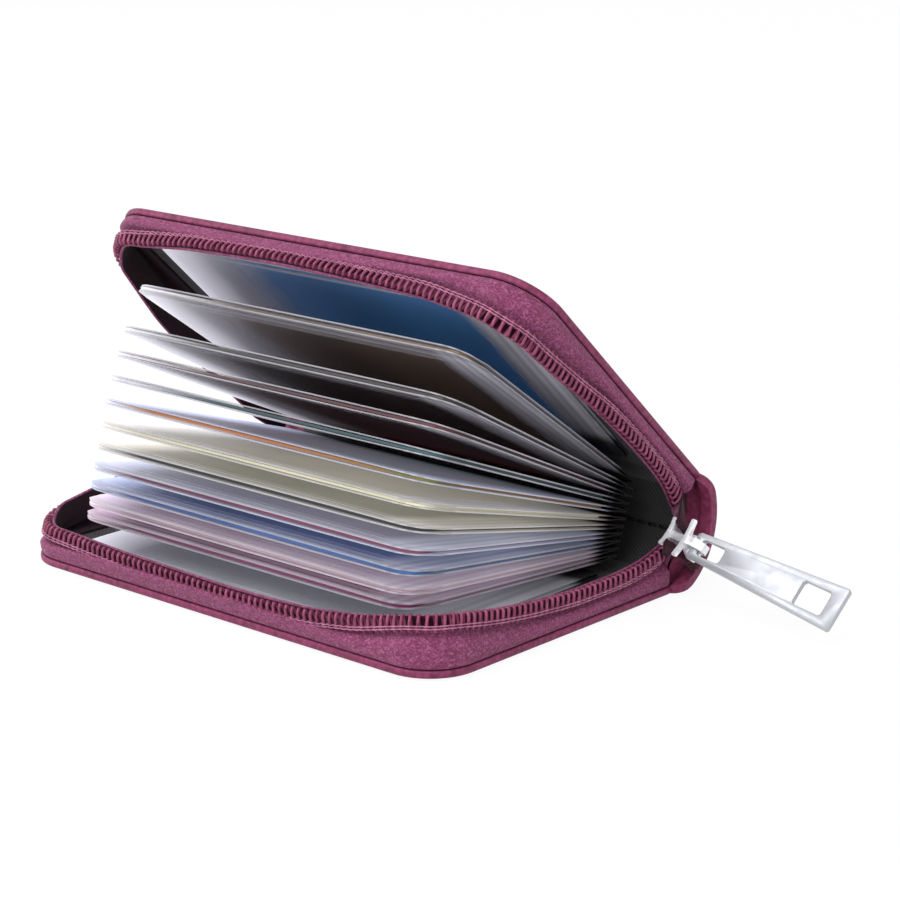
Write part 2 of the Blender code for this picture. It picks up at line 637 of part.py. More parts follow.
def make_zip_end(finish, parent):
    """Closed end of the chain: it comes off the spine's inside, turns out past the walls and
    ends in the slider. Drawn in the slider's frame, along Y."""
    width = COIL_WIDTH
    front = CHAIN_FRONT
    straight = CHAIN_CURVE[0][1] - front
    turns = round(straight / COIL_PITCH)
    step = straight / turns
    rings = []

    def ring(x, y, direction, half_width, thick=CHAIN_THICKNESS / 2):
        nx, ny = direction
        rings.append([(x + nx * t, y + ny * t, z) for t, z in
                      ((-thick, -half_width + 0.3), (-thick + 0.3, -half_width),
                       (thick - 0.3, -half_width), (thick, -half_width + 0.3),
                       (thick, half_width - 0.3), (thick - 0.3, half_width),
                       (-thick + 0.3, half_width), (-thick, half_width - 0.3))])

    for i in range(turns):
        y = front + i * step
        ring(0.0, y, (1.0, 0.0), width - CHAIN_NOTCH)
        ring(0.0, y + step * 0.3, (1.0, 0.0), width)
        ring(0.0, y + step * 0.7, (1.0, 0.0), width)
    curve = [Vector(point[:2]) for point in CHAIN_CURVE]
    for i, point in enumerate(curve):
        before = curve[i - 1] if i else point - Vector((0, 1))
        after = curve[i + 1] if i + 1 < len(curve) else point + (point - before)
        along = (after - before).normalized()
        ring(point.x, point.y, (along.y, -along.x), width - CHAIN_NOTCH, CHAIN_CURVE[i][2])
    bm = bmesh.new()
    rings_to_solid(bm, rings)
    return object_from_bmesh("zip_end_near", bm, finish, parent)


def page_angle(index):
    """Angle of a page above the bottom cover at rest, in degrees. The top page stands apart."""
    if index == PAGE_COUNT - 1:
        return TOP_PAGE_ANGLE
    share = index / (PAGE_COUNT - 2)
    return BOTTOM_PAGE_ANGLE + (UPPER_PAGE_ANGLE - BOTTOM_PAGE_ANGLE) * share ** FAN_CROWDING


def fold_empty(name, location, angle, parent=None):
    """An empty on a fold line, turned so that what it carries opens by angle."""
    made = bpy.data.objects.new(name, None)
    bpy.context.scene.collection.objects.link(made)
    made.parent = parent
    made.location = Vector(location) * MM
    made.rotation_euler = (-math.radians(angle), 0.0, 0.0)
    return made


def main():
    clear_scene()
    leather = material("grained_leather", (0.37, 0.10, 0.21), 0.55)
    leather_inside = material("leather_inside", (0.20, 0.03, 0.09), 0.7)
    tape = material("woven_zip_tape", (0.35, 0.10, 0.21), 0.8)
    coil = material("nylon_coil", (0.30, 0.05, 0.15), 0.45)
    board = material("grey_board", (0.35, 0.34, 0.32), 0.9)
    lining = material("black_lining", (0.012, 0.011, 0.012), 0.8)
    film = material("clear_film", (0.80, 0.80, 0.84), 0.25, alpha=0.5)
    chrome = material("chromed_zinc", (0.80, 0.80, 0.82), 0.12, metallic=1.0)
    satin = material("satin_nickel", (0.82, 0.82, 0.84), 0.3, metallic=1.0)
    card_colours = [(0.20, 0.25, 0.32), (0.16, 0.05, 0.14), (0.06, 0.20, 0.45),
                    (0.30, 0.08, 0.30), (0.40, 0.14, 0.03), (0.10, 0.11, 0.04),
                    (0.05, 0.10, 0.12), (0.10, 0.02, 0.06), (0.08, 0.01, 0.01),
                    (0.03, 0.03, 0.04), (0.04, 0.05, 0.05), (0.09, 0.07, 0.04),
                    (0.02, 0.08, 0.22)]
    cards = [material(f"card_stock_{i:02d}", colour, 0.4) for i, colour in enumerate(card_colours)]

    bottom = fold_empty("bottom_cover_frame", (0, FOLD_Y, 0), 0.0)
    spine = fold_empty("spine_fold", (0, FOLD_Y, 0), SPINE_ANGLE)
    top = fold_empty("top_cover_fold", (0, 0, THICKNESS), SPINE_ANGLE, spine)

    for side, frame, flip in (("bottom", bottom, False), ("top", top, True)):
        make_cover_leather(f"cover_leather_{side}", leather, frame, flip)
        layer_inset = TURNED_EDGE_WIDTH + LAYER_GAP
        make_cover_layer(f"cover_board_{side}", board, frame, flip, layer_inset,
                         BOARD_BASE, BOARD_THICKNESS)
        make_cover_layer(f"cover_lining_{side}", lining, frame, flip, layer_inset,
                         LINING_BASE, LINING_THICKNESS)
        profile = SINK_TOP if flip else SINK_BOTTOM
        make_zip_tape(f"zip_tape_{side}", tape, frame, flip, profile)
        make_zip_coil(f"zip_coil_{side}", coil, frame, flip, profile)
        pocket_height = POCKET_BASE + POCKET_THICKNESS / 2
        place = Vector((PAGE_SHIFT, -BINDING_SETBACK, -pocket_height if flip else pocket_height))
        pocket = make_pocket(f"cover_pocket_{side}", film, frame)
        pocket.location = place * MM
        card = make_card(f"card_{side}", cards[-1] if flip else cards[0], frame)
        card.location = place * MM

    make_spine_leather(leather, spine)
    make_spine_lining(lining, spine)
    make_binding(lining, spine)
    for index in range(PAGE_COUNT):
        page = make_pocket(f"page_{index + 1:02d}", film, None)
        add_flap(page)
        card = make_card(f"card_{index + 1:02d}", cards[index + 1], None)
        for thing in (page, card):
            thing.parent = spine
            thing.location = Vector((PAGE_SHIFT, -BINDING_SETBACK, page_height(index))) * MM
            thing.rotation_euler = (math.radians(SPINE_ANGLE - page_angle(index)), 0.0, 0.0)

    place = Matrix.Translation(Vector((HALF_LENGTH + SLIDER_OUTBOARD, -SLIDER_FROM_FOLDS,
                                       SLIDER_HEIGHT)) * MM)
    place = place @ Matrix.Rotation(-math.radians(SLIDER_ROLL), 4, "X")
    place = place @ Matrix.Rotation(math.radians(SLIDER_DROOP), 4, "Y")
    chain_end = make_zip_end(coil, spine)
    chain_end.matrix_basis = place
    slider = make_slider(chrome, spine)
    slider.matrix_basis = place
    pull = make_pull(satin, slider)
    axis = Vector((SLIDER_CHANNEL / 2 + SLIDER_PLATE + PULL_AXIS_HEIGHT, -PULL_AXIS_ALONG, 0.0))
    pull.location = axis * MM
    pull.rotation_euler = (0.0, 0.0, math.radians(PULL_SWING))
    make_mesh_names()


def make_mesh_names():
    for thing in bpy.data.objects:
        if thing.type == "MESH":
            thing.data.name = thing.name


main()
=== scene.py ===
"""Looks for the zip card wallet: plum grained leather, a woven zip tape with its nylon coil,
clear pockets with plain cards, black lining, chromed slider and satin pull.

Pieces are modelled in millimetres, zipped shut, in the frame of the cover or spine that
carries them (fold line at y = 0, outer face at z = 0), and then put in place at rest.
"""
import math

import bmesh
import bpy
from mathutils import Matrix, Vector


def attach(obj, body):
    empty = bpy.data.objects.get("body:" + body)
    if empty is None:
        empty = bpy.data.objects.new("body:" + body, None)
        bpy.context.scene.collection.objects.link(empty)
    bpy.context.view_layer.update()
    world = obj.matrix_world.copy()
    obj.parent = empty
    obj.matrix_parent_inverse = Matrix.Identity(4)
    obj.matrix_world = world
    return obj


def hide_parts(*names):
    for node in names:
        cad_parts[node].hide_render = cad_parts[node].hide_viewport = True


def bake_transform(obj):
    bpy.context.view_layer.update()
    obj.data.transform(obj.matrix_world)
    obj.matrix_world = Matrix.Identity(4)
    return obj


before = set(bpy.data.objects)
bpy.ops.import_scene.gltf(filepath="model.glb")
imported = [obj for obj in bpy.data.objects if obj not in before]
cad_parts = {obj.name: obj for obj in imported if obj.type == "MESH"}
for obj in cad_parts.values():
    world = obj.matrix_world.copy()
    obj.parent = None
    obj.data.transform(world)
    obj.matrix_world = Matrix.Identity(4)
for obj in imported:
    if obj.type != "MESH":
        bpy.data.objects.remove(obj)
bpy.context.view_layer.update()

MM = 0.001

# Sizes of the wallet in millimetres, as in the solids
HALF_LENGTH = 55.0
COVER_DEPTH = 67.0
THICKNESS = 23.61        # shut
CORNER = 10.0
LOWER_FOLD = 37.5        # world Y of the fold between the lower cover and the spine
SPINE_ANGLE = 21.4       # each fold's opening at rest, in degrees
SPINE_RADIUS = 14.914
SPINE_CENTRE = -9.114
SPINE_HALF_ANGLE = math.asin(THICKNESS / 2 / SPINE_RADIUS)
SPINE_REACH = 57.5
SPINE_LEATHER = 1.1
HEM_START, HEM_END = 53.8, 55.2
HEM_EXTRA = 0.7
SEAM_STITCHES = 37
SEAM_PITCH = 2.6
SEAM_START = -46.8
SLIDER_PLACE = (58.75, -4.9, 9.956)
SLIDER_ROLL = 18.6
SLIDER_DROOP = 8.0
COIL_DEPTH = 0.95        # coil's middle inside the leather's edge
COIL_MID = 9.955         # and its height
COIL_PITCH = 1.5

# The fan of pockets
PAGE_COUNT = 11
PAGE_REACH = 59.6
PAGE_HALF = 44.2
PAGE_SHIFT = -0.8
BINDING_SETBACK = 3.5
COVER_POCKET_HEIGHT = 3.225
FIRST_PAGE_HEIGHT = 4.655
PAGE_PITCH = 1.43
BOTTOM_PAGE_ANGLE = 4.0
UPPER_PAGE_ANGLE = 28.0  # the top page but one
TOP_PAGE_ANGLE = 35.0
FAN_CROWDING = 1.35      # above 1, the lower pages lie closer together
FILM_THICKNESS = 0.25
FILM_PARTING = 0.16      # how far a pocket's mouth stands open, each film

# Linings
COVER_LINING_BASE = 2.03
LINING_HALF = 51.0       # half the length of the linings in the spine and the folds
FOLD_LINING_DEPTH = 3.0  # how far a fold's lining reaches into its cover
FOLD_LINING_BASE = 2.25
FOLD_LINING_END = 1.2    # where it lies wholly on the spine


def turn(angle, axis):
    return Matrix.Rotation(math.radians(angle), 4, axis)


def shift(x, y, z):
    return Matrix.Translation((x, y, z))


# Frames at rest. The upper cover's is mirrored, so that one recipe makes both covers.
LOWER = shift(0, LOWER_FOLD, 0)
SPINE = LOWER @ turn(-SPINE_ANGLE, "X")
UPPER_FOLD = SPINE @ shift(0, 0, THICKNESS) @ turn(-SPINE_ANGLE, "X")
UPPER = UPPER_FOLD @ Matrix.Diagonal((1, 1, -1, 1))
SLIDER = SPINE @ shift(*SLIDER_PLACE) @ turn(-SLIDER_ROLL, "X") @ turn(SLIDER_DROOP, "Y")
SIDES = {"bottom": (LOWER, "bottom_cover", 1), "top": (UPPER, "top_cover", -1)}


# Materials

def linear(colour):
    """sRGB hex to linear values with alpha 1."""
    parts = [int(colour[i:i + 2], 16) / 255 for i in (1, 3, 5)]
    return [c / 12.92 if c <= 0.04045 else ((c + 0.055) / 1.055) ** 2.4 for c in parts] + [1.0]


def grey(value):
    return (value, value, value, 1.0)


def add(tree, kind, inputs=None, links=None, **settings):
    """Add a shader node, set its values and inputs, and link sockets into it."""
    made = tree.nodes.new(kind)
    for key, value in settings.items():
        setattr(made, key, value)
    for key, value in (inputs or {}).items():
        made.inputs[key].default_value = value
    for key, socket in (links or {}).items():
        tree.links.new(socket, made.inputs[key])
    return made


def new_material(name, **values):
    """A material, its node tree and its surface shader, with the shader's inputs set."""
    made = bpy.data.materials.new(name)
    made.use_nodes = True
    shader = made.node_tree.nodes["Principled BSDF"]
    for key, value in values.items():
        shader.inputs[key.replace("_", " ")].default_value = value
    return made, made.node_tree, shader


def paint(tree, shader, colour):
    tree.links.new(colour, shader.inputs["Base Color"])


def paint_glow(tree, shader, tint, strength):
    """Painted glow: faint emission in a tint, standing in for light that passes through the
    surface.
    """
    shader.inputs["Emission Color"].default_value = linear(tint)
    tree.links.new(strength, shader.inputs["Emission Strength"])


def bump(tree, shader, height, distance, strength):
    made = add(tree, "ShaderNodeBump", {"Distance": distance, "Strength": strength},
               {"Height": height})
    tree.links.new(made.outputs["Normal"], shader.inputs["Normal"])


def object_coordinates(tree):
    return add(tree, "ShaderNodeTexCoord").outputs["Object"]


def noise(tree, scale, detail, **more):
    return add(tree, "ShaderNodeTexNoise", {"Scale": scale, "Detail": detail, **more},
               {"Vector": object_coordinates(tree)}).outputs["Fac"]


def maths(tree, operation, first, second):
    """A sum of two sides, each a socket or a number."""
    made = add(tree, "ShaderNodeMath", operation=operation)
    for index, side in enumerate((first, second)):
        if isinstance(side, float):
            made.inputs[index].default_value = side
        else:
            tree.links.new(side, made.inputs[index])
    return made.outputs[0]


def multiplied(tree, first, second):
    return add(tree, "ShaderNodeMix", {"Factor": 1.0}, {"A": first, "B": second},
               data_type="RGBA", blend_type="MULTIPLY").outputs["Result"]


def ramp(tree, source, stops):
    """Colour ramp; a stop's colour is a hex value or a grey."""
    made = add(tree, "ShaderNodeValToRGB", links={"Fac": source})
    elements = made.color_ramp.elements
    while len(elements) < len(stops):
        elements.new(0.5)
    for element, (place, colour) in zip(elements, stops):
        element.position = place
        element.color = linear(colour) if isinstance(colour, str) else colour
    return made.outputs["Color"]


def grey_ramp(tree, source, *stops):
    return ramp(tree, source, [(place, grey(value)) for place, value in stops])


def film_coordinates(tree):
    """Place on a film, 0 to 1: X from its far end to the near one, Y from the binding out."""
    place = add(tree, "ShaderNodeUVMap", uv_map="UVMap").outputs["UV"]
    return add(tree, "ShaderNodeSeparateXYZ", links={"Vector": place}).outputs


def drum_dyed_leather(name, low, mid, high):
    """Embossed cow leather, drum-dyed: pebbles about 0.9 mm across, each painted lighter in
    the middle as a painted highlight and darker at its edge as painted shade, and dye that
    is a little uneven."""
    made, tree, shader = new_material(name, Roughness=0.55, IOR=1.5, Specular_IOR_Level=0.3,
                                      Coat_Weight=0.04, Coat_Roughness=0.35)
    pebbles = add(tree, "ShaderNodeTexVoronoi", {"Scale": 1100.0},
                  {"Vector": object_coordinates(tree)}, feature="SMOOTH_F1").outputs["Distance"]
    uneven = add(tree, "ShaderNodeMapRange", {"To Min": 0.28, "To Max": 0.62},
                 {"Value": noise(tree, 160.0, 5.0)}).outputs["Result"]
    mixed = maths(tree, "ADD", maths(tree, "MULTIPLY", pebbles, 0.6), uneven)
    # Painted highlight in each pebble's middle and painted shade at its edge, over the uneven dye
    paint(tree, shader, ramp(tree, mixed, [(0.25, high), (0.6, mid), (0.95, low)]))
    bump(tree, shader, pebbles, 0.00012, 0.5)
    return made


def woven_tape(name, low, mid, high):
    """Spun polyester tape in a plain weave, threads 0.4 mm: matt and heathered, each crossing
    catching the light a little differently, with a faint bloom of fibres."""
    made, tree, shader = new_material(name, Roughness=0.9, Specular_IOR_Level=0.15,
                                      Sheen_Weight=0.1, Sheen_Roughness=0.5)
    weave = add(tree, "ShaderNodeUVMap", uv_map="weave").outputs["UV"]
    crossings = add(tree, "ShaderNodeTexVoronoi", {"Scale": 2.6, "Randomness": 0.8},
                    {"Vector": weave}, voronoi_dimensions="2D").outputs["Color"]
    tone = add(tree, "ShaderNodeSeparateColor", links={"Color": crossings}).outputs[0]
    fibres = noise(tree, 2600.0, 5.0, Roughness=0.8)
    mixed = maths(tree, "ADD", maths(tree, "MULTIPLY", tone, 0.2), fibres)
    paint(tree, shader, ramp(tree, mixed, [(0.34, low), (0.6, mid), (0.86, high)]))
    bump(tree, shader, mixed, 0.00012, 0.5)
    return made


def drawn_nylon(name, low, high, roughness):
    """Drawn nylon monofilament, dyed through: smooth with a soft shine."""
    made, tree, shader = new_material(name, Roughness=roughness, IOR=1.53,
                                      Specular_IOR_Level=0.3)
    paint(tree, shader, ramp(tree, noise(tree, 600.0, 2.0), [(0.35, low), (0.65, high)]))
    return made


def twill_lining(name, low, high):
    """Black polyester lining: a fine twill, threads drawn at 0.5 mm, faint grey sheen."""
    made, tree, shader = new_material(name, Roughness=0.75, Sheen_Weight=0.15)
    ribs = add(tree, "ShaderNodeTexWave", {"Scale": 620.0, "Distortion": 0.6},
               {"Vector": object_coordinates(tree)}, bands_direction="DIAGONAL").outputs["Fac"]
    mixed = maths(tree, "MULTIPLY", ribs, noise(tree, 120.0, 3.0))
    paint(tree, shader, ramp(tree, mixed, [(0.1, low), (0.7, high)]))
    bump(tree, shader, ribs, 0.00006, 0.4)
    return made


def soft_film(name, far_white, far_clear, over_card, glow, tint="#E9E7F2"):
    """Calendered soft vinyl, 0.25 mm: clear over the card, milky where it is welded and where
    the pocket runs on past the card. It has a painted glow between the pages, weaker towards
    the spine, and a painted white glow at its far end."""
    made, tree, shader = new_material(name, Roughness=0.3, IOR=1.52, Specular_IOR_Level=0.2)
    sheet = film_coordinates(tree)
    mist = noise(tree, 45.0, 2.0)
    along = maths(tree, "ADD", sheet["X"], maths(tree, "MULTIPLY", mist, 0.06))
    haze = grey_ramp(tree, along, (0.03, 0.96), (0.03 + far_white, 0.9),
                     (0.03 + far_clear, over_card), (0.9, over_card), (0.955, 0.92),
                     (1.0, 0.96))
    # Two raised lines run along the pocket's mouth
    lip = grey_ramp(tree, sheet["Y"], (0.905, 0.0), (0.91, 0.55), (0.918, 0.55), (0.923, 0.0),
                    (0.94, 0.0), (0.945, 0.7), (0.953, 0.7), (0.958, 0.1), (0.965, 0.1),
                    (0.99, 0.75))
    tree.links.new(maths(tree, "MAXIMUM", haze, lip), shader.inputs["Alpha"])
    # Shade deepens towards the binding, and welded lines cross the near end
    colour = ramp(tree, mist, [(0.3, "#ACAAB4"), (0.7, "#C8C5CE")])
    shade = grey_ramp(tree, sheet["Y"], (0.1, 0.08), (0.16, 0.75), (0.5, 1.0), (0.95, 1.0),
                      (0.965, 0.6))
    welds = grey_ramp(tree, sheet["X"], (0.925, 1.0), (0.93, 0.72), (0.94, 0.72), (0.945, 1.0),
                      (0.955, 1.0), (0.96, 0.66), (0.968, 0.66), (0.973, 1.0), (0.984, 1.0),
                      (0.988, 0.7))
    paint(tree, shader, multiplied(tree, multiplied(tree, colour, shade), welds))
    # Painted glow: weaker towards the binding, and white at the far end
    inward = grey_ramp(tree, sheet["Y"], (0.1, 0.0), (0.16, 0.45), (0.5, 0.8), (0.9, 1.0))
    far = grey_ramp(tree, sheet["X"], (0.0, 0.5), (0.05, 0.25), (0.15, 0.0))
    strength = maths(tree, "ADD", maths(tree, "MULTIPLY", inward, glow), far)
    paint_glow(tree, shader, tint, strength)
    bump(tree, shader, noise(tree, 150.0, 1.0), 0.0003, 0.25)
    return made


def cut_film_edge(name):
    """Cut edge of the film, nearly opaque: grey, with a painted glow that makes it look white."""
    made, tree, shader = new_material(name, Roughness=0.4)
    sheet = film_coordinates(tree)
    paint(tree, shader, ramp(tree, noise(tree, 200.0, 2.0), [(0.3, "#8A848A"),
                                                             (0.7, "#ACA6AC")]))
    # Painted glow: none at the binding, most at the far end
    inward = grey_ramp(tree, sheet["Y"], (0.1, 0.0), (0.2, 0.12), (0.6, 0.12), (1.0, 0.06))
    far = grey_ramp(tree, sheet["X"], (0.0, 0.6), (0.06, 0.4), (0.22, 0.0))
    paint_glow(tree, shader, "#F0EEF4", maths(tree, "ADD", inward, far))
    return made


def printed_card(name, low, high, glow=0.0, haze_and_highlight_end=None):
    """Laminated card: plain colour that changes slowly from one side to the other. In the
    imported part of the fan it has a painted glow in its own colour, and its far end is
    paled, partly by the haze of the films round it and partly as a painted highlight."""
    made, tree, shader = new_material(name, Roughness=0.35, IOR=1.5, Emission_Strength=glow)
    colour = ramp(tree, noise(tree, 22.0, 1.0), [(0.38, low), (0.62, high)])
    # Far end paled to near white: partly the film's haze, partly a painted highlight
    if haze_and_highlight_end:
        x = add(tree, "ShaderNodeSeparateXYZ",
                links={"Vector": object_coordinates(tree)}).outputs["X"]
        clear = add(tree, "ShaderNodeMapRange",
                    {"From Min": -0.0455, "From Max": haze_and_highlight_end, "To Min": 0.0, "To Max": 1.0},
                    {"Value": x}, interpolation_type="SMOOTHSTEP").outputs["Result"]
        hazed_and_highlighted = add(tree, "ShaderNodeMix", links={"Factor": clear}, data_type="RGBA")
        hazed_and_highlighted.inputs["A"].default_value = linear("#DCDAE0")
        tree.links.new(colour, hazed_and_highlighted.inputs["B"])
        colour = hazed_and_highlighted.outputs["Result"]
    paint(tree, shader, colour)
    # Painted glow in the card's own colour
    tree.links.new(colour, shader.inputs["Emission Color"])
    bump(tree, shader, noise(tree, 2500.0, 1.0), 0.00002, 0.2)
    return made


def plated_metal(name, colour, roughness, metallic, brushed=0.0):
    """Plated zinc: polished chrome on the slider, a finer satin on the stamped pull."""
    made, tree, shader = new_material(name, Metallic=metallic, Anisotropic=brushed)
    shader.inputs["Base Color"].default_value = linear(colour)
    spread = add(tree, "ShaderNodeMapRange",
                 {"From Min": 0.3, "From Max": 0.7, "To Min": roughness * 0.8,
                  "To Max": roughness * 1.25}, {"Value": noise(tree, 400.0, 3.0)})
    tree.links.new(spread.outputs["Result"], shader.inputs["Roughness"])
    return made


LEATHER = drum_dyed_leather("drum_dyed_leather", "#561A36", "#7C2E54", "#8E3A62")
LEATHER_INSIDE = drum_dyed_leather("leather_flesh_side", "#66243E", "#863656", "#9A4A6A")
TAPE = woven_tape("woven_tape", "#562040", "#743756", "#A26086")
# Darker copies of the tape: painted shade behind the coil and near the slider, and deeper painted
# shade inside the wall
TAPE_PAINTED_SHADE = woven_tape("woven_tape_painted_shade", "#24040F", "#30081A", "#3C0E22")
TAPE_INSIDE_PAINTED_SHADE = woven_tape("woven_tape_inside_painted_shade", "#12050A", "#1C080F", "#280D16")
COIL = drawn_nylon("nylon_coil", "#6C2A46", "#8E4464", 0.4)
THREAD = drawn_nylon("sewing_thread", "#8E5474", "#AA7088", 0.6)
BLACK_THREAD = drawn_nylon("black_thread", "#050505", "#151415", 0.6)
LINING = twill_lining("black_twill_lining", "#242325", "#444143")
CHROME = plated_metal("polished_chrome_plate", "#F4F4F8", 0.24, 0.5)
SATIN = plated_metal("satin_nickel_plate", "#B0B2B8", 0.42, 0.5, 0.3)
BOARD = printed_card("grey_pulp_board", "#8B8984", "#9B9994")
FILM_EDGE = cut_film_edge("cut_vinyl_edge")
FILM_HIGH = soft_film("soft_vinyl_film_open", 0.07, 0.32, 0.05, 0.03)

# In the imported part of the fan the films have a painted glow, tinted like the cards round
# them. Share of white over the card, glow and tint; then which of them each of the lowest
# pages has.
PACKED_FILMS = [soft_film(f"soft_vinyl_film_packed_{i}", 0.04, 0.14, *values)
                for i, values in enumerate(((0.36, 0.15, "#D8E0E6"), (0.12, 0.07, "#E8BCDC"),
                                            (0.36, 0.2, "#F0D4E6"), (0.14, 0.08, "#B8CCFA"),
                                            (0.36, 0.2, "#CCD8FA"), (0.36, 0.2, "#ECE8D2")))]
PACKED_PAGES = (1, 2, 3, 4, 5, 5, 4)

# Two tones and painted glow of each card, from the lower cover's to the upper cover's
CARD_COLOURS = [("#3E4A58", "#5A6878", 0.15), ("#541E46", "#7A2C5C", 0.12),
                ("#7E6A74", "#A08A94", 0.25), ("#1C3C78", "#3460A0", 0.15),
                ("#5A2038", "#7A3450", 0.12), ("#0C0E14", "#1C2028", 0.1),
                ("#B8B49C", "#C8C4A8", 0.25), ("#A05A24", "#6A6424", 0.15),
                ("#16383E", "#28525A", 0.1), ("#3A0C14", "#54161E", 0.1),
                ("#141210", "#26201A", 0.05), ("#3A2A20", "#5E4634", 0.06),
                ("#145084", "#2468A4", 0.16)]
CARDS = [printed_card(f"card_print_{i:02d}", *values, -0.012 if 8 <= i < 12 else -0.028)
         for i, values in enumerate(CARD_COLOURS)]


# Making pieces

def deselect():
    if bpy.context.object and bpy.context.object.mode != "OBJECT":
        bpy.ops.object.mode_set(mode="OBJECT")
    bpy.ops.object.select_all(action="DESELECT")


def finish_piece(piece, matrix, *materials):
    """Put a piece modelled in millimetres in place at rest, in metres, facing out."""
    piece.data.transform(Matrix.Scale(MM, 4) @ matrix)
    if matrix.determinant() < 0:
        piece.data.flip_normals()
    indices = [polygon.material_index for polygon in piece.data.polygons]
    piece.data.materials.clear()
    for finish in materials:
        piece.data.materials.append(finish)
    piece.data.polygons.foreach_set("material_index", indices)
    return piece


def smooth_by_angle(piece, angle):
    deselect()
    piece.select_set(True)
    bpy.context.view_layer.objects.active = piece
    bpy.ops.object.shade_smooth_by_angle(angle=math.radians(angle))


def apply_modifier(piece, kind, **settings):
    deselect()
    piece.select_set(True)
    bpy.context.view_layer.objects.active = piece
    made = piece.modifiers.new(kind.lower(), kind)
    for key, value in settings.items():
        setattr(made, key, value)
    bpy.ops.object.modifier_apply(modifier=made.name)


def select_faces(piece, test):
    """In edit mode: select the faces that pass the test, and nothing else."""
    bpy.ops.mesh.select_mode(type="FACE")
    bpy.ops.mesh.select_all(action="DESELECT")
    edit = bmesh.from_edit_mesh(piece.data)
    for face in edit.faces:
        face.select_set(test(face))
    bmesh.update_edit_mesh(piece.data)


def new_mesh_piece(name, bm):
    mesh = bpy.data.meshes.new(name)
    bm.to_mesh(mesh)
    bm.free()
    made = bpy.data.objects.new(name, mesh)
    bpy.context.scene.collection.objects.link(made)
    return made


def sheet_grid(name, columns, rows, place):
    """A grid sheet whose points are put where place(u, v) says, u and v from 0 to 1."""
    deselect()
    bpy.ops.mesh.primitive_grid_add(x_subdivisions=columns, y_subdivisions=rows, size=2)
    piece = bpy.context.object
    piece.name = name
    piece.data.name = name
    for vertex in piece.data.vertices:
        vertex.co = place(vertex.co.x / 2 + 0.5, vertex.co.y / 2 + 0.5)
    return piece


def smoothstep(low, high, value):
    share = min(1.0, max(0.0, (value - low) / (high - low)))
    return share * share * (3 - 2 * share)


def rounded_panel(name, half, back, front, radius, thickness, rim_width=0.0, rim_drop=0.0,
                  edge=0.5):
    """Flat panel with two round corners at the front; a rim is left where the middle sinks."""
    deselect()
    bpy.ops.mesh.primitive_plane_add(size=1, location=(0, (back + front) / 2, 0))
    piece = bpy.context.object
    piece.name = name
    piece.data.name = name
    piece.scale = (2 * half, back - front, 1)
    bpy.ops.object.transform_apply(location=True, rotation=True, scale=True)
    bpy.ops.object.mode_set(mode="EDIT")
    bpy.ops.mesh.select_mode(type="VERT")
    bpy.ops.mesh.select_all(action="DESELECT")
    edit = bmesh.from_edit_mesh(piece.data)
    for vertex in edit.verts:
        vertex.select_set(vertex.co.y < (back + front) / 2)
    bmesh.update_edit_mesh(piece.data)
    bpy.ops.mesh.bevel(offset=radius, segments=14, affect="VERTICES")
    bpy.ops.mesh.select_all(action="SELECT")
    bpy.ops.mesh.extrude_region_move(TRANSFORM_OT_translate={"value": (0, 0, thickness)})
    bpy.ops.mesh.select_all(action="SELECT")
    bpy.ops.mesh.normals_make_consistent(inside=False)
    if rim_width:
        select_faces(piece, lambda face: face.normal.z > 0.9)
        bpy.ops.mesh.inset(thickness=rim_width)
        bpy.ops.transform.translate(value=(0, 0, -rim_drop))
    bpy.ops.object.mode_set(mode="OBJECT")
    apply_modifier(piece, "BEVEL", width=edge, segments=4, limit_method="ANGLE",
                   angle_limit=math.radians(50))
    return piece


# Zip walls. Distances run round a cover from its near fold. The unzipped walls have sunk by
# SINK, as in the solids, and the web that carries the coil leans out by LEAN degrees. Along
# the front the tape has swollen by SWELL over the coil's lower half.

SINK = {"bottom": ((0, 0.8), (3, 1.7), (8, 3.0), (15, 3.6), (22, 3.7), (30, 3.7), (40, 3.0),
                   (50, 1.8), (60, 0.2), (70, 0.3), (82, 2.7), (93, 3.7), (158, 3.7),
                   (172, 3.5), (182, 2.0), (192, 0.5), (205, 0.0)),
        "top": ((0, 2.2), (4, 3.3), (9, 3.7), (34, 3.7), (45, 2.5), (57, 1.3), (66, 1.2),
                (76, 2.7), (85, 3.7), (165, 3.7), (174, 3.2), (184, 1.8), (194, 0.4),
                (205, 0.0))}
LEAN = {"bottom": ((0, 6), (6, 8), (13, 8), (26, 5), (34, 0), (50, -4), (60, -13), (70, -13),
                   (80, 3), (94, 23), (104, 33), (114, 35), (128, 29), (142, 22), (150, 14),
                   (158, 0), (166, -10), (180, -6), (200, 0)),
        "top": ((0, 0), (4, 8), (10, 20), (20, 24), (28, 16), (38, 0), (56, -8), (66, -6), (78, 5),
                (94, 25), (110, 38), (122, 44), (134, 40), (146, 34), (154, 18), (162, -4),
                (172, -12), (190, 0))}
SWELL = {"bottom": ((0, 0.0), (78, 0.0), (96, 1.0), (112, 1.5), (150, 1.2), (168, 0.2),
                    (180, 0.0)),
         "top": ((0, 0.3), (40, 0.0), (90, 0.0), (120, 0.6), (150, 0.4), (165, 0.0))}
FLOOR, KNEE, PINCH = 2.8, 6.155, 7.855   # heights between which the bulge folds up
FIRST_SINK = 2.675      # most that the part below the knee can sink
PIVOT_DEPTH = 2.0       # the web turns about the pinch, this far inside the edge
SIDE_LENGTH = COVER_DEPTH - CORNER
FRONT_START = SIDE_LENGTH + math.pi / 2 * CORNER
FAR_CORNER = FRONT_START + 2 * (HALF_LENGTH - CORNER)
FAR_SIDE = FAR_CORNER + math.pi / 2 * CORNER
WALL_LENGTH = FAR_SIDE + SIDE_LENGTH
TAPE_THICKNESS = 0.7
WALL_START = 0.6        # the tape's distance from the far fold
FAR_RIM_RISE = 1.5      # the web stands higher along the far side
TRACK_STEPS = 190
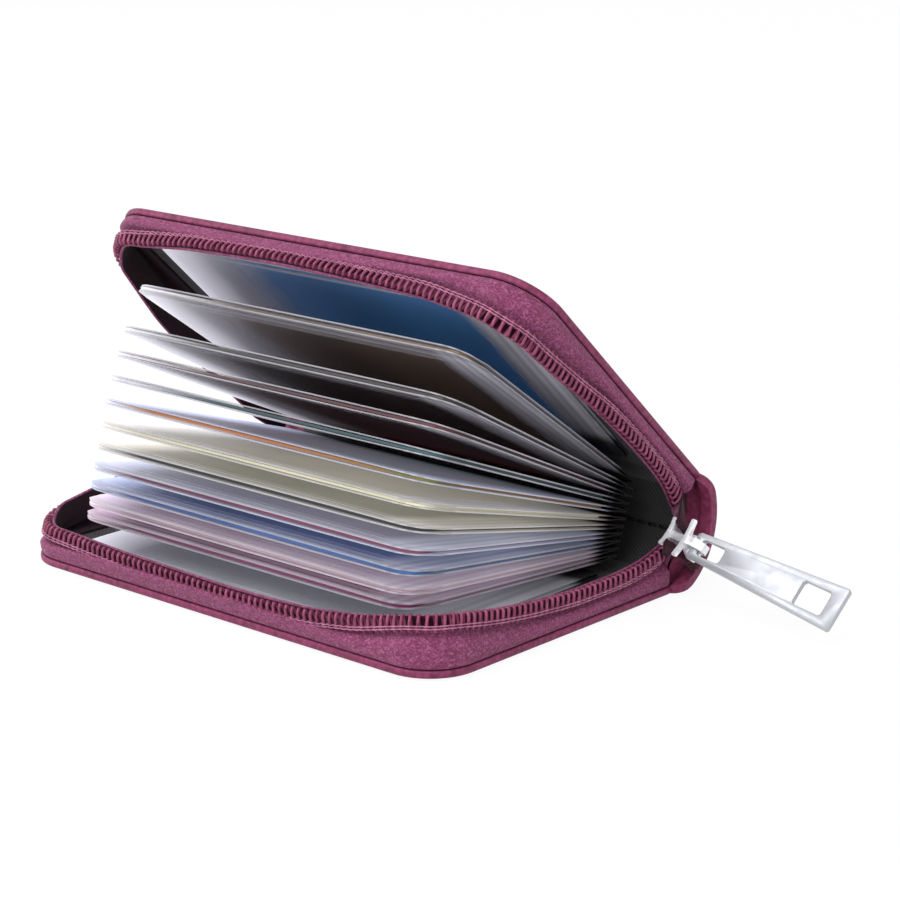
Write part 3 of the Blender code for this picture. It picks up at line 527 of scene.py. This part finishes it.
TAIL_START = 0.8        # the coil leaves its wall this far from the near fold
TAIL_STEPS = 30         # stations from there to the slider's nose
END_STEPS = 6           # and inside the slider
TAIL_FOOT = 0.4         # the wall's foot goes on to this distance meanwhile
TAIL_SLIMMING = 0.62    # share of its height that the web loses on the way


def profile_at(profile, distance):
    for (first, low), (second, high) in zip(profile, profile[1:]):
        if distance <= second:
            return low + (high - low) * max(0.0, distance - first) / (second - first)
    return profile[-1][1]


def eased_at(profile, distance):
    """The profile with its kinks eased over 5 mm."""
    return sum(profile_at(profile, distance + step) for step in (-2.5, -1.25, 0, 1.25, 2.5)) / 5


def outline_at(distance):
    """Point of the leather's edge and the direction out of it."""
    if distance < SIDE_LENGTH:
        return Vector((HALF_LENGTH, -distance, 0)), Vector((1, 0, 0))
    if distance < FRONT_START:
        angle = -(distance - SIDE_LENGTH) / CORNER
        out = Vector((math.cos(angle), math.sin(angle), 0))
        return Vector((HALF_LENGTH - CORNER, CORNER - COVER_DEPTH, 0)) + out * CORNER, out
    if distance < FAR_CORNER:
        along = HALF_LENGTH - CORNER - (distance - FRONT_START)
        return Vector((along, -COVER_DEPTH, 0)), Vector((0, -1, 0))
    if distance < FAR_SIDE:
        angle = -math.pi / 2 - (distance - FAR_CORNER) / CORNER
        out = Vector((math.cos(angle), math.sin(angle), 0))
        return Vector((CORNER - HALF_LENGTH, CORNER - COVER_DEPTH, 0)) + out * CORNER, out
    along = CORNER - COVER_DEPTH + distance - FAR_SIDE
    return Vector((-HALF_LENGTH, along, 0)), Vector((-1, 0, 0))


def lowered(height, sink):
    """Height of a point of the tape below the coil after the wall has sunk."""
    first = min(sink, FIRST_SINK)
    if height <= FLOOR:
        return height
    if height <= KNEE:
        return height - first * (height - FLOOR) / (KNEE - FLOOR)
    share = min(1.0, (height - KNEE) / (PINCH - KNEE))
    return height - first - (sink - first) * share


def wall_station(side, distance):
    """Foot, direction out, how far it has sunk and swollen, and the coil's own frame."""
    foot, out = outline_at(distance)
    sink = eased_at(SINK[side], distance)
    lean = math.radians(eased_at(LEAN[side], distance))
    swell = eased_at(SWELL[side], distance)
    up = Vector((0, 0, 1))
    coil_out = out * math.cos(lean) - up * math.sin(lean)
    coil_up = up * math.cos(lean) + out * math.sin(lean)
    pivot = foot - out * PIVOT_DEPTH + up * (PINCH - sink)
    middle = pivot + coil_out * (PIVOT_DEPTH - COIL_DEPTH) + coil_up * (COIL_MID - PINCH)
    rim = FAR_RIM_RISE * smoothstep(FAR_CORNER + 5, FAR_SIDE - 1, distance)
    return {"foot": foot, "out": out, "sink": sink, "swell": swell, "point": middle,
            "coil_out": coil_out, "coil_up": coil_up, "tail": 0.0, "rim": rim}


def chain_track(side):
    """Stations from the far fold to the near one and on into the slider's nose. In the tail
    the foot goes on to the fold while the coil leaves the wall."""
    matrix, _, sign = SIDES[side]
    stations = []
    start = WALL_LENGTH - WALL_START
    for i in range(TRACK_STEPS + 1):
        stations.append(wall_station(side, start - (start - TAIL_START) * i / TRACK_STEPS))
    inverse = matrix.inverted()

    def local_point(x, y, z):
        return inverse @ (SLIDER @ Vector((x, y, z)))

    def local_direction(x, y, z):
        return (inverse.to_3x3() @ (SLIDER.to_3x3() @ Vector((x, y, z)))).normalized()

    nose = local_point(0.25, -4.2, -2.1 * sign)
    inside = local_point(0.25, -1.0, -1.6 * sign)
    into = local_direction(0, 1, 0)
    out_end = local_direction(1, 0, 0)
    up_end = local_direction(0, 0, sign)
    last = stations[-1]
    start = last["point"]
    leave = start + Vector((1.0, 1.4, 1.2))     # handles of the curve to the nose
    arrive = nose - into * 1.6
    for i in range(1, TAIL_STEPS + END_STEPS + 1):
        t = min(1.0, i / TAIL_STEPS)
        point = (start * (1 - t) ** 3 + leave * 3 * t * (1 - t) ** 2
                 + arrive * 3 * t * t * (1 - t) + nose * t ** 3)
        if i > TAIL_STEPS:
            point = nose.lerp(inside, (i - TAIL_STEPS) / END_STEPS)
        w = smoothstep(0, 1, t)
        station = wall_station(side, TAIL_START - (TAIL_START - TAIL_FOOT) * t)
        station["point"] = point
        station["coil_out"] = (last["coil_out"] * (1 - w) + out_end * w).normalized()
        station["coil_up"] = (last["coil_up"] * (1 - w) + up_end * w).normalized()
        station["tail"] = i / TAIL_STEPS
        stations.append(station)
    distance = 0.0
    for i, station in enumerate(stations):
        if i:
            distance += (station["point"] - stations[i - 1]["point"]).length
        station["distance"] = distance
    return stations


def on_track(track, distance):
    """Matrix on the track: X along, Y out, Z up."""
    for first, second in zip(track, track[1:]):
        if second["distance"] >= distance:
            break
    share = (distance - first["distance"]) / max(1e-9, second["distance"] - first["distance"])
    share = min(1.0, max(0.0, share))
    point = first["point"].lerp(second["point"], share)
    out = first["coil_out"].lerp(second["coil_out"], share).normalized()
    up = first["coil_up"].lerp(second["coil_up"], share).normalized()
    along = (second["point"] - first["point"]).normalized()
    up = (up - along * up.dot(along)).normalized()
    out = up.cross(along) if up.cross(along).dot(out) > 0 else along.cross(up)
    made = Matrix((along, out, up)).transposed().to_4x4()
    made.translation = point
    return made


def string_along(name, unit, track, start, stop, pitch):
    """Copies of a small mesh strung along the track, in one piece."""
    count = int((stop - start) / pitch)
    step = (stop - start) / count
    bm = bmesh.new()
    for i in range(count):
        place = on_track(track, start + (i + 0.5) * step)
        mesh = unit.copy()
        mesh.transform(place)
        bm.from_mesh(mesh)
        bpy.data.meshes.remove(mesh)
    return new_mesh_piece(name, bm)


def tube(points, radius, sides, closed):
    """A small tube mesh along points."""
    curve = bpy.data.curves.new("tube", "CURVE")
    curve.dimensions = "3D"
    curve.bevel_depth = radius
    curve.bevel_resolution = (sides - 4) // 2
    curve.use_fill_caps = not closed
    spline = curve.splines.new("POLY")
    spline.points.add(len(points) - 1)
    for spot, point in zip(spline.points, points):
        spot.co = (*point, 1)
    spline.use_cyclic_u = closed
    thing = bpy.data.objects.new("tube", curve)
    bpy.context.scene.collection.objects.link(thing)
    deselect()
    thing.select_set(True)
    bpy.context.view_layer.objects.active = thing
    bpy.ops.object.convert(target="MESH")
    mesh = bpy.context.object.data.copy()
    bpy.data.objects.remove(bpy.context.object, do_unlink=True)
    return mesh


# Zip wall section from the foot, up the outside and down the inside: depth inside the
# leather's edge, height, finish of the face after it (0 tape, 1 tape painted dark as shade
# behind the coil, 2 inside of the tape painted darker still as shade), how much of the
# swelling it takes, and whether it belongs to the web that carries the coil
SECTION = [(3.5, 2.0, 0, 0, 0), (1.2, 1.62, 0, 0, 0), (0.5, 1.6, 0, 0, 0),
           (0.22, 1.85, 0, 0, 0), (0.08, 2.5, 0, 0, 0), (0.05, 3.6, 0, 0.15, 0),
           (0.05, 4.6, 0, 0.4, 0), (0.06, 5.4, 0, 0.7, 0), (0.2, 6.1, 0, 0.95, 0),
           (0.5, 6.75, 0, 1, 0), (0.95, 7.25, 0, 0.9, 0), (1.5, 7.65, 0, 0.4, 0),
           (1.95, 8.0, 0, 0, 1), (2.0, 8.6, 0, 0, 1), (2.0, 9.2, 1, 0, 1),
           (1.95, 10.7, 1, 0, 1), (2.0, 11.0, 0, 0, 1), (2.2, 11.15, 0, 0, 1),
           (2.45, 11.1, 0, 0, 1), (2.6, 10.9, 2, 0, 1), (2.6, 9.6, 2, 0, 1),
           (2.6, 8.2, 2, 0, 1), (2.1, 6.9, 2, 0, 0), (1.3, 6.2, 2, 0, 0),
           (0.8, 5.3, 2, 0, 0), (0.75, 4.0, 2, 0, 0), (1.0, 3.3, 2, 0, 0),
           (1.7, 2.85, 2, 0, 0), (3.5, 2.8, 2, 0, 0)]


def zip_wall(name, track):
    """Woven tape swept round the cover. Its web leaves the wall for the slider and narrows."""
    bm = bmesh.new()
    weave = bm.loops.layers.uv.new("weave")
    rings = []
    for station in track:
        distance = station["distance"]      # from the far fold
        fold = 1.0 - smoothstep(0.0, 5.0, distance)
        corner = 1.0 - smoothstep(0.0, 4.0, distance)
        slim = 1.0 - TAIL_SLIMMING * smoothstep(0.1, 0.75, station["tail"])
        ring = []
        for depth, height, _, swelling, on_web in SECTION:
            if on_web:
                across = (COIL_DEPTH - depth) * (0.5 + 0.5 * slim)
                rise = (height - COIL_MID) * slim - fold * 1.2 * (height - 7.9) / 3.8
                rise += station["rim"] * smoothstep(9.6, 10.9, height)
                tucked = 3.4 * corner * smoothstep(7.8, 8.8, height)
                spot = station["point"] + station["coil_out"] * (across - fold * 0.6)
                spot = spot + station["coil_up"] * rise + Vector((0, tucked, 0))
            else:
                swell = station["swell"] * swelling
                spot = station["foot"] - station["out"] * (depth - swell * 0.75)
                spot = spot + Vector((0, 0, lowered(height, station["sink"]) + swell))
            ring.append(bm.verts.new(spot))
        rings.append(ring)
    across_uv = [0.0]
    for first, second in zip(SECTION, SECTION[1:]):
        across_uv.append(across_uv[-1] + math.dist(first[:2], second[:2]))
    across_uv.append(across_uv[-1] + TAPE_THICKNESS)
    count = len(SECTION)
    for i in range(len(rings) - 1):
        for j in range(count):
            k = (j + 1) % count
            face = bm.faces.new((rings[i][j], rings[i + 1][j], rings[i + 1][k], rings[i][k]))
            tail = track[i]["tail"]
            # Behind the coil, inside the wall and in the tail near the slider the faces take the
            # tape's darker copies: painted shade
            face.material_index = SECTION[j][2] if tail < 0.03 else 1 if tail > 0.55 else 0
            corners = ((i, j), (i + 1, j), (i + 1, j + 1), (i, j + 1))
            for loop, (a, b) in zip(face.loops, corners):
                loop[weave].uv = (track[a]["distance"], across_uv[b])
    bm.faces.new(rings[0][::-1])
    bm.faces.new(rings[-1])
    bmesh.ops.recalc_face_normals(bm, faces=bm.faces)
    piece = new_mesh_piece(name, bm)
    smooth_by_angle(piece, 60)
    return piece


TOOTH_STEPS = 16
TOOTH_DEPTH = 0.55      # half sizes of the loop's middle line
TOOTH_HEIGHT = 1.45
TOOTH_LEAN = 0.2
STRAND_RADIUS = 0.29
STITCH_ROWS = (-1.15, -0.65)
STITCH_RADIUS = 0.13
COIL_START = 2.0        # from the far fold, for teeth and stitches
STITCHES_SHORT = 3.0    # the stitches end this much before the teeth
UPPER_TEETH_SHORT = 1.7     # the upper wall's last tooth would stand clear of its tape


def tooth_mesh():
    """One turn of the coil: a long loop of monofilament. Its outer strand leans one way and
    its inner one the other, and both ends curl over."""
    points = []
    for i in range(TOOTH_STEPS):
        angle = 2 * math.pi * i / TOOTH_STEPS
        across, along = math.cos(angle), math.sin(angle)
        out = TOOTH_DEPTH * math.copysign(abs(across) ** 0.8, across) - 0.1
        up = TOOTH_HEIGHT * math.copysign(abs(along) ** 0.8, along) - 0.15
        points.append((TOOTH_LEAN * along * (1 if across > 0 else -1), out, up))
    return tube(points, STRAND_RADIUS, 6, True)


def stitch_mesh():
    """Two runs of lockstitch over one turn, side by side on the coil's middle."""
    bm = bmesh.new()
    for row in STITCH_ROWS:
        points = [(-0.78, 0.3, row), (-0.45, 0.62, row), (0.0, 0.74, row + 0.04),
                  (0.45, 0.62, row), (0.78, 0.3, row)]
        mesh = tube(points, STITCH_RADIUS, 6, False)
        bm.from_mesh(mesh)
        bpy.data.meshes.remove(mesh)
    mesh = bpy.data.meshes.new("stitch")
    bm.to_mesh(mesh)
    bm.free()
    return mesh


def make_zip(side):
    """Wall, teeth and stitching of one cover. They bend from the cover to the slider."""
    matrix, body, sign = SIDES[side]
    track = chain_track(side)
    end = next(station["distance"] for station in track if station["tail"] > 0.1)
    if side == "top":
        end -= UPPER_TEETH_SHORT
    wall = zip_wall(f"zip_wall_{side}", track)
    finish_piece(wall, matrix, TAPE, TAPE_PAINTED_SHADE, TAPE_INSIDE_PAINTED_SHADE)
    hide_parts(f"zip_tape_{side}")
    teeth = string_along(f"zip_teeth_{side}", tooth_mesh(), track, COIL_START, end, COIL_PITCH)
    finish_piece(teeth, matrix, COIL)
    teeth.data.shade_smooth()
    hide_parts(f"zip_coil_{side}")
    thread = string_along(f"zip_stitching_{side}", stitch_mesh(), track, COIL_START,
                          end - STITCHES_SHORT, COIL_PITCH)
    finish_piece(thread, matrix, THREAD)
    thread.data.shade_smooth()
    for piece in (wall, teeth, thread):
        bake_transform(piece)


def make_leather(side):
    """A cover's leather, thicker where it is turned over at the edge, and its lining."""
    matrix, body, _ = SIDES[side]
    panel = rounded_panel(f"leather_cover_{side}", HALF_LENGTH, 0.0, -COVER_DEPTH, CORNER,
                          thickness=1.5, rim_width=5.0, rim_drop=0.7)
    finish_piece(panel, matrix, LEATHER)
    smooth_by_angle(panel, 40)
    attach(panel, body)
    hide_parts(f"cover_leather_{side}")
    lining = rounded_panel(f"lining_{side}", 51.2, -0.6, -COVER_DEPTH + 3.8, 6.4,
                           thickness=0.35, edge=0.1)
    lining.data.transform(shift(0, 0, COVER_LINING_BASE))
    finish_piece(lining, matrix, LINING)
    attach(lining, body)
    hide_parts(f"cover_lining_{side}")


def spine_point(radius, angle, x):
    """Point round the spine's axis; angle 0 is the middle of the back."""
    return Vector((x, SPINE_CENTRE + radius * math.cos(angle),
                   THICKNESS / 2 + radius * math.sin(angle)))


def make_spine_leather():
    """Round back with soft corners. Its ends are turned in as a hem, and the side that faces
    the pages shows the leather's flesh side."""
    corner = 3.6

    def place(u, v):
        x = SPINE_REACH * (0.25 * (2 * u - 1) + 0.75 * math.sin(math.pi * (u - 0.5)))
        over = max(0.0, abs(x) - (SPINE_REACH - corner))
        cut = corner - math.sqrt(max(0.0, corner ** 2 - over ** 2))
        angle = (SPINE_HALF_ANGLE - cut / SPINE_RADIUS) * (2 * v - 1)
        return spine_point(SPINE_RADIUS, angle, x)

    back = sheet_grid("spine_cover", 110, 34, place)
    centre = Vector((0, SPINE_CENTRE, THICKNESS / 2))
    outward = back.data.polygons[0].normal.dot(back.data.polygons[0].center - centre)
    apply_modifier(back, "SOLIDIFY", thickness=SPINE_LEATHER,
                   offset=-1.0 if outward > 0 else 1.0)
    axis_distance = [math.hypot(v.co.y - centre.y, v.co.z - centre.z)
                     for v in back.data.vertices]
    for vertex, distance in zip(back.data.vertices, axis_distance):
        inner = smoothstep(SPINE_RADIUS - 0.5, SPINE_RADIUS - 1.0, distance)
        hem = smoothstep(HEM_START, HEM_END, abs(vertex.co.x))
        if inner and hem:
            towards = Vector((0, centre.y - vertex.co.y, centre.z - vertex.co.z)).normalized()
            vertex.co += towards * HEM_EXTRA * inner * hem
    back.data.update()
    bm = bmesh.new()
    bm.from_mesh(back.data)
    bmesh.ops.recalc_face_normals(bm, faces=bm.faces)
    for face in bm.faces:
        middle = face.calc_center_median()
        outward = Vector((0, middle.y - centre.y, middle.z - centre.z))
        face.material_index = 1 if face.normal.dot(outward) < -0.3 else 0
    bm.to_mesh(back.data)
    bm.free()
    finish_piece(back, SPINE, LEATHER, LEATHER_INSIDE)
    apply_modifier(back, "BEVEL", width=0.6 * MM, segments=4, limit_method="ANGLE",
                   angle_limit=math.radians(55))
    smooth_by_angle(back, 40)
    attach(back, "spine")
    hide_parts("spine_leather")


def make_spine_lining():
    """Lining of the back, a little wavy, with the seam that holds the pages."""

    def place(u, v):
        x = (2 * u - 1) * LINING_HALF
        return spine_point(13.3 + 0.05 * math.sin(x * 0.7),
                           0.62 * SPINE_HALF_ANGLE * 1.25 * (2 * v - 1), x)

    lining = sheet_grid("spine_lining_cloth", 60, 20, place)
    apply_modifier(lining, "SOLIDIFY", thickness=0.35, offset=-1.0)
    finish_piece(lining, SPINE, LINING)
    smooth_by_angle(lining, 40)
    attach(lining, "spine")
    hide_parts("spine_lining")

    bm = bmesh.new()
    unit = tube([(-0.8, 0.1, 0), (-0.55, -0.2, 0), (0.55, -0.2, 0), (0.8, 0.1, 0)], 0.34, 6,
                False)
    for i in range(SEAM_STITCHES):
        mesh = unit.copy()
        mesh.transform(Matrix.Translation(spine_point(12.9, 0.02, SEAM_START + SEAM_PITCH * i)))
        bm.from_mesh(mesh)
        bpy.data.meshes.remove(mesh)
    seam = new_mesh_piece("spine_seam", bm)
    finish_piece(seam, SPINE, BLACK_THREAD)
    seam.data.shade_smooth()
    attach(seam, "spine")


def make_fold_lining(side):
    """Lining that bridges the fold between a cover and the spine, with a soft hollow. It is
    shaped shut, and then each point is put between the cover's place and the spine's."""
    _, body, sign = SIDES[side]
    cover = LOWER if side == "bottom" else UPPER_FOLD @ shift(0, 0, -THICKNESS)
    end_angle = -SPINE_HALF_ANGLE * 0.775 * 0.97

    def height(above_face):
        return above_face if sign > 0 else THICKNESS - above_face

    def place(u, v):
        x = (2 * u - 1) * LINING_HALF
        start = Vector((x, -FOLD_LINING_DEPTH, FOLD_LINING_BASE))
        point = start.lerp(spine_point(13.1, end_angle, x), v)
        point.z = height(point.z - 0.25 * math.sin(math.pi * v))
        return point

    strip = sheet_grid(f"fold_lining_{side}", 40, 12, place)
    for vertex in strip.data.vertices:
        share = smoothstep(-FOLD_LINING_DEPTH, FOLD_LINING_END, vertex.co.y)
        vertex.co = (cover @ vertex.co).lerp(SPINE @ vertex.co, share)
    apply_modifier(strip, "SOLIDIFY", thickness=0.3, offset=0.0)
    finish_piece(strip, Matrix.Identity(4), LINING)
    smooth_by_angle(strip, 50)
    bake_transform(strip)


def film_sheet(name, face, reach_start, parting):
    """One film of a pocket, with round free corners, close over the card."""

    def place(u, v):
        x = (2 * u - 1) * PAGE_HALF
        corner = 6.0
        over = max(0.0, abs(x) - (PAGE_HALF - corner))
        limit = PAGE_REACH - (corner - math.sqrt(max(0.0, corner ** 2 - over ** 2)))
        reach = reach_start + (limit - reach_start) * v
        ends = 1 - smoothstep(42.9, 44.1, -x)
        back = smoothstep(3.6, 5.2, reach)
        mouth = smoothstep(40.0, PAGE_REACH, reach) * (1 - (abs(x) / PAGE_HALF) ** 4)
        return Vector((x, -reach, face * (0.14 + 0.26 * ends * back + parting * mouth)))

    sheet = sheet_grid(name, 56, 24, place)
    if face < 0:
        sheet.data.flip_normals()
    apply_modifier(sheet, "SOLIDIFY", thickness=FILM_THICKNESS, offset=0.0,
                   material_offset_rim=1)
    return sheet


def make_pocket(name, matrix, body, node, reach_start, parting, film):
    """Pocket of two films, joined along three sides."""
    sheets = [film_sheet(name, 1, reach_start, parting),
              film_sheet(f"{name}_under", -1, reach_start, parting)]
    deselect()
    for sheet in sheets:
        sheet.data.materials.append(film)
        sheet.data.materials.append(FILM_EDGE)
        sheet.select_set(True)
    bpy.context.view_layer.objects.active = sheets[0]
    bpy.ops.object.join()
    pocket = sheets[0]
    for polygon in pocket.data.polygons:
        polygon.material_index = min(1, polygon.material_index)
    finish_piece(pocket, matrix, film, FILM_EDGE)
    smooth_by_angle(pocket, 40)
    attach(pocket, body)
    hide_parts(node)


def page_angle(index):
    """A page's angle above the lower cover at rest."""
    if index == PAGE_COUNT - 1:
        return TOP_PAGE_ANGLE
    share = (index / (PAGE_COUNT - 2)) ** FAN_CROWDING
    return BOTTOM_PAGE_ANGLE + (UPPER_PAGE_ANGLE - BOTTOM_PAGE_ANGLE) * share


def refined_copy(name, node, body, finish, width, segments=2):
    """A copy of a solid with its edges worn round."""
    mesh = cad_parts[node].data.copy()
    mesh.name = name
    piece = bpy.data.objects.new(name, mesh)
    bpy.context.scene.collection.objects.link(piece)
    bm = bmesh.new()
    bm.from_mesh(mesh)
    bmesh.ops.remove_doubles(bm, verts=bm.verts, dist=1e-6)
    bmesh.ops.dissolve_limit(bm, angle_limit=math.radians(3), verts=bm.verts, edges=bm.edges)
    bm.to_mesh(mesh)
    bm.free()
    mesh.materials.clear()
    mesh.materials.append(finish)
    apply_modifier(piece, "BEVEL", width=width * MM, segments=segments, limit_method="ANGLE",
                   angle_limit=math.radians(45))
    smooth_by_angle(piece, 35)
    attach(piece, body)
    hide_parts(node)


def repaint(node, finish):
    """Give a solid that is shown as it is its material."""
    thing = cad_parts[node]
    for slot in thing.material_slots:
        slot.material = finish
    if not thing.material_slots:
        thing.data.materials.append(finish)


for side, (matrix, body, _) in SIDES.items():
    make_leather(side)
    make_zip(side)
    make_fold_lining(side)
    pocket_place = matrix @ shift(PAGE_SHIFT, -BINDING_SETBACK, COVER_POCKET_HEIGHT)
    make_pocket(f"pocket_{side}", pocket_place, body, f"cover_pocket_{side}", 4.2, 0.0,
                PACKED_FILMS[0] if side == "bottom" else FILM_HIGH)
    repaint(f"cover_board_{side}", BOARD)
    repaint(f"card_{side}", CARDS[0] if side == "bottom" else CARDS[-1])
make_spine_leather()
make_spine_lining()

for i in range(PAGE_COUNT):
    place = (SPINE @ shift(PAGE_SHIFT, -BINDING_SETBACK, FIRST_PAGE_HEIGHT + PAGE_PITCH * i)
             @ turn(SPINE_ANGLE - page_angle(i), "X"))
    film = PACKED_FILMS[PACKED_PAGES[i]] if i < len(PACKED_PAGES) else FILM_HIGH
    make_pocket(f"pocket_{i + 1:02d}", place, f"leaf_{i + 1:02d}", f"page_{i + 1:02d}", 0.2,
                FILM_PARTING, film)
    repaint(f"card_{i + 1:02d}", CARDS[i + 1])

refined_copy("binding_strip", "page_binding", "spine", LINING, 0.06)
# The chain's end takes the tape's darker copy: painted shade
refined_copy("chain_end", "zip_end_near", "spine", TAPE_PAINTED_SHADE, 0.15)
refined_copy("slider_casting", "zip_slider", "slider", CHROME, 0.16, 3)
refined_copy("pull_plate", "zip_pull", "pull", SATIN, 0.12, 3)


# Floor, light and camera

def seen_directly(tree):
    """1 for camera, mirror and see-through rays, 0 for the light that a surface gives off."""
    rays = add(tree, "ShaderNodeLightPath").outputs
    seen = maths(tree, "MAXIMUM", rays["Is Camera Ray"], rays["Is Glossy Ray"])
    return maths(tree, "MAXIMUM", seen, rays["Is Transmission Ray"])


def make_floor():
    """Pale floor that looks white to the camera, but still takes a faint shadow."""
    deselect()
    bpy.ops.mesh.primitive_plane_add(size=6.0, location=(0, 0, -0.0004))
    floor = bpy.context.object
    floor.name = "floor"
    finish, tree, shader = new_material("pale_floor", Roughness=0.9, Specular_IOR_Level=0.0)
    shader.inputs["Base Color"].default_value = linear("#F4F4F4")
    share = maths(tree, "MULTIPLY", seen_directly(tree), 0.93)
    glow = add(tree, "ShaderNodeEmission", {"Color": (1, 1, 1, 1), "Strength": 1.0})
    mixed = add(tree, "ShaderNodeMixShader",
                links={0: share, 1: shader.outputs[0], 2: glow.outputs[0]})
    tree.links.new(mixed.outputs[0], tree.nodes["Material Output"].inputs["Surface"])
    floor.data.materials.append(finish)


def make_world():
    """White background, a little dimmer as a light than as a backdrop."""
    world = bpy.data.worlds.new("studio")
    bpy.context.scene.world = world
    world.use_nodes = True
    tree = world.node_tree
    tree.nodes.clear()
    fill = add(tree, "ShaderNodeBackground", {"Color": (1, 1, 1, 1), "Strength": 0.9})
    white = add(tree, "ShaderNodeBackground", {"Color": (1, 1, 1, 1), "Strength": 1.0})
    mixed = add(tree, "ShaderNodeMixShader",
                links={0: seen_directly(tree), 1: fill.outputs[0], 2: white.outputs[0]})
    add(tree, "ShaderNodeOutputWorld", links={"Surface": mixed.outputs[0]})


def soft_box(name, place, aim, size, power):
    lamp = bpy.data.lights.new(name, "AREA")
    lamp.shape = "RECTANGLE"
    lamp.size, lamp.size_y = size
    lamp.energy = power
    thing = bpy.data.objects.new(name, lamp)
    bpy.context.scene.collection.objects.link(thing)
    thing.location = place
    thing.rotation_euler = (Vector(aim) - Vector(place)).to_track_quat("-Z", "Y").to_euler()


def make_camera():
    """Camera as fitted to the photo: it looks at the aim from along back."""
    lens = bpy.data.cameras.new("photo_camera")
    lens.sensor_width = 36.0
    lens.lens = 105.36
    camera = bpy.data.objects.new("photo_camera", lens)
    bpy.context.scene.collection.objects.link(camera)
    back = Vector((0.63837, -0.72167, 0.26774))
    right = Vector((0.74902, 0.66256, 0.0))
    up = Vector((-0.17739, 0.20054, 0.96349))
    aim, distance = Vector((0.01368, 0.02105, 0.02413)), 0.506494
    turned = Matrix((right, up, back)).transposed().to_4x4()
    turned.translation = aim + back * distance
    camera.matrix_world = turned
    lens.clip_start = 0.01
    lens.clip_end = 20.0
    bpy.context.scene.camera = camera


make_floor()
make_world()
soft_box("key_light", (0.10, -0.55, 0.75), (0.0, 0.0, 0.03), (0.7, 0.7), 6.0)
soft_box("left_light", (-0.70, -0.30, 0.35), (0.0, 0.0, 0.03), (0.6, 0.6), 2.5)
make_camera()
bpy.context.scene.view_settings.view_transform = "Standard"
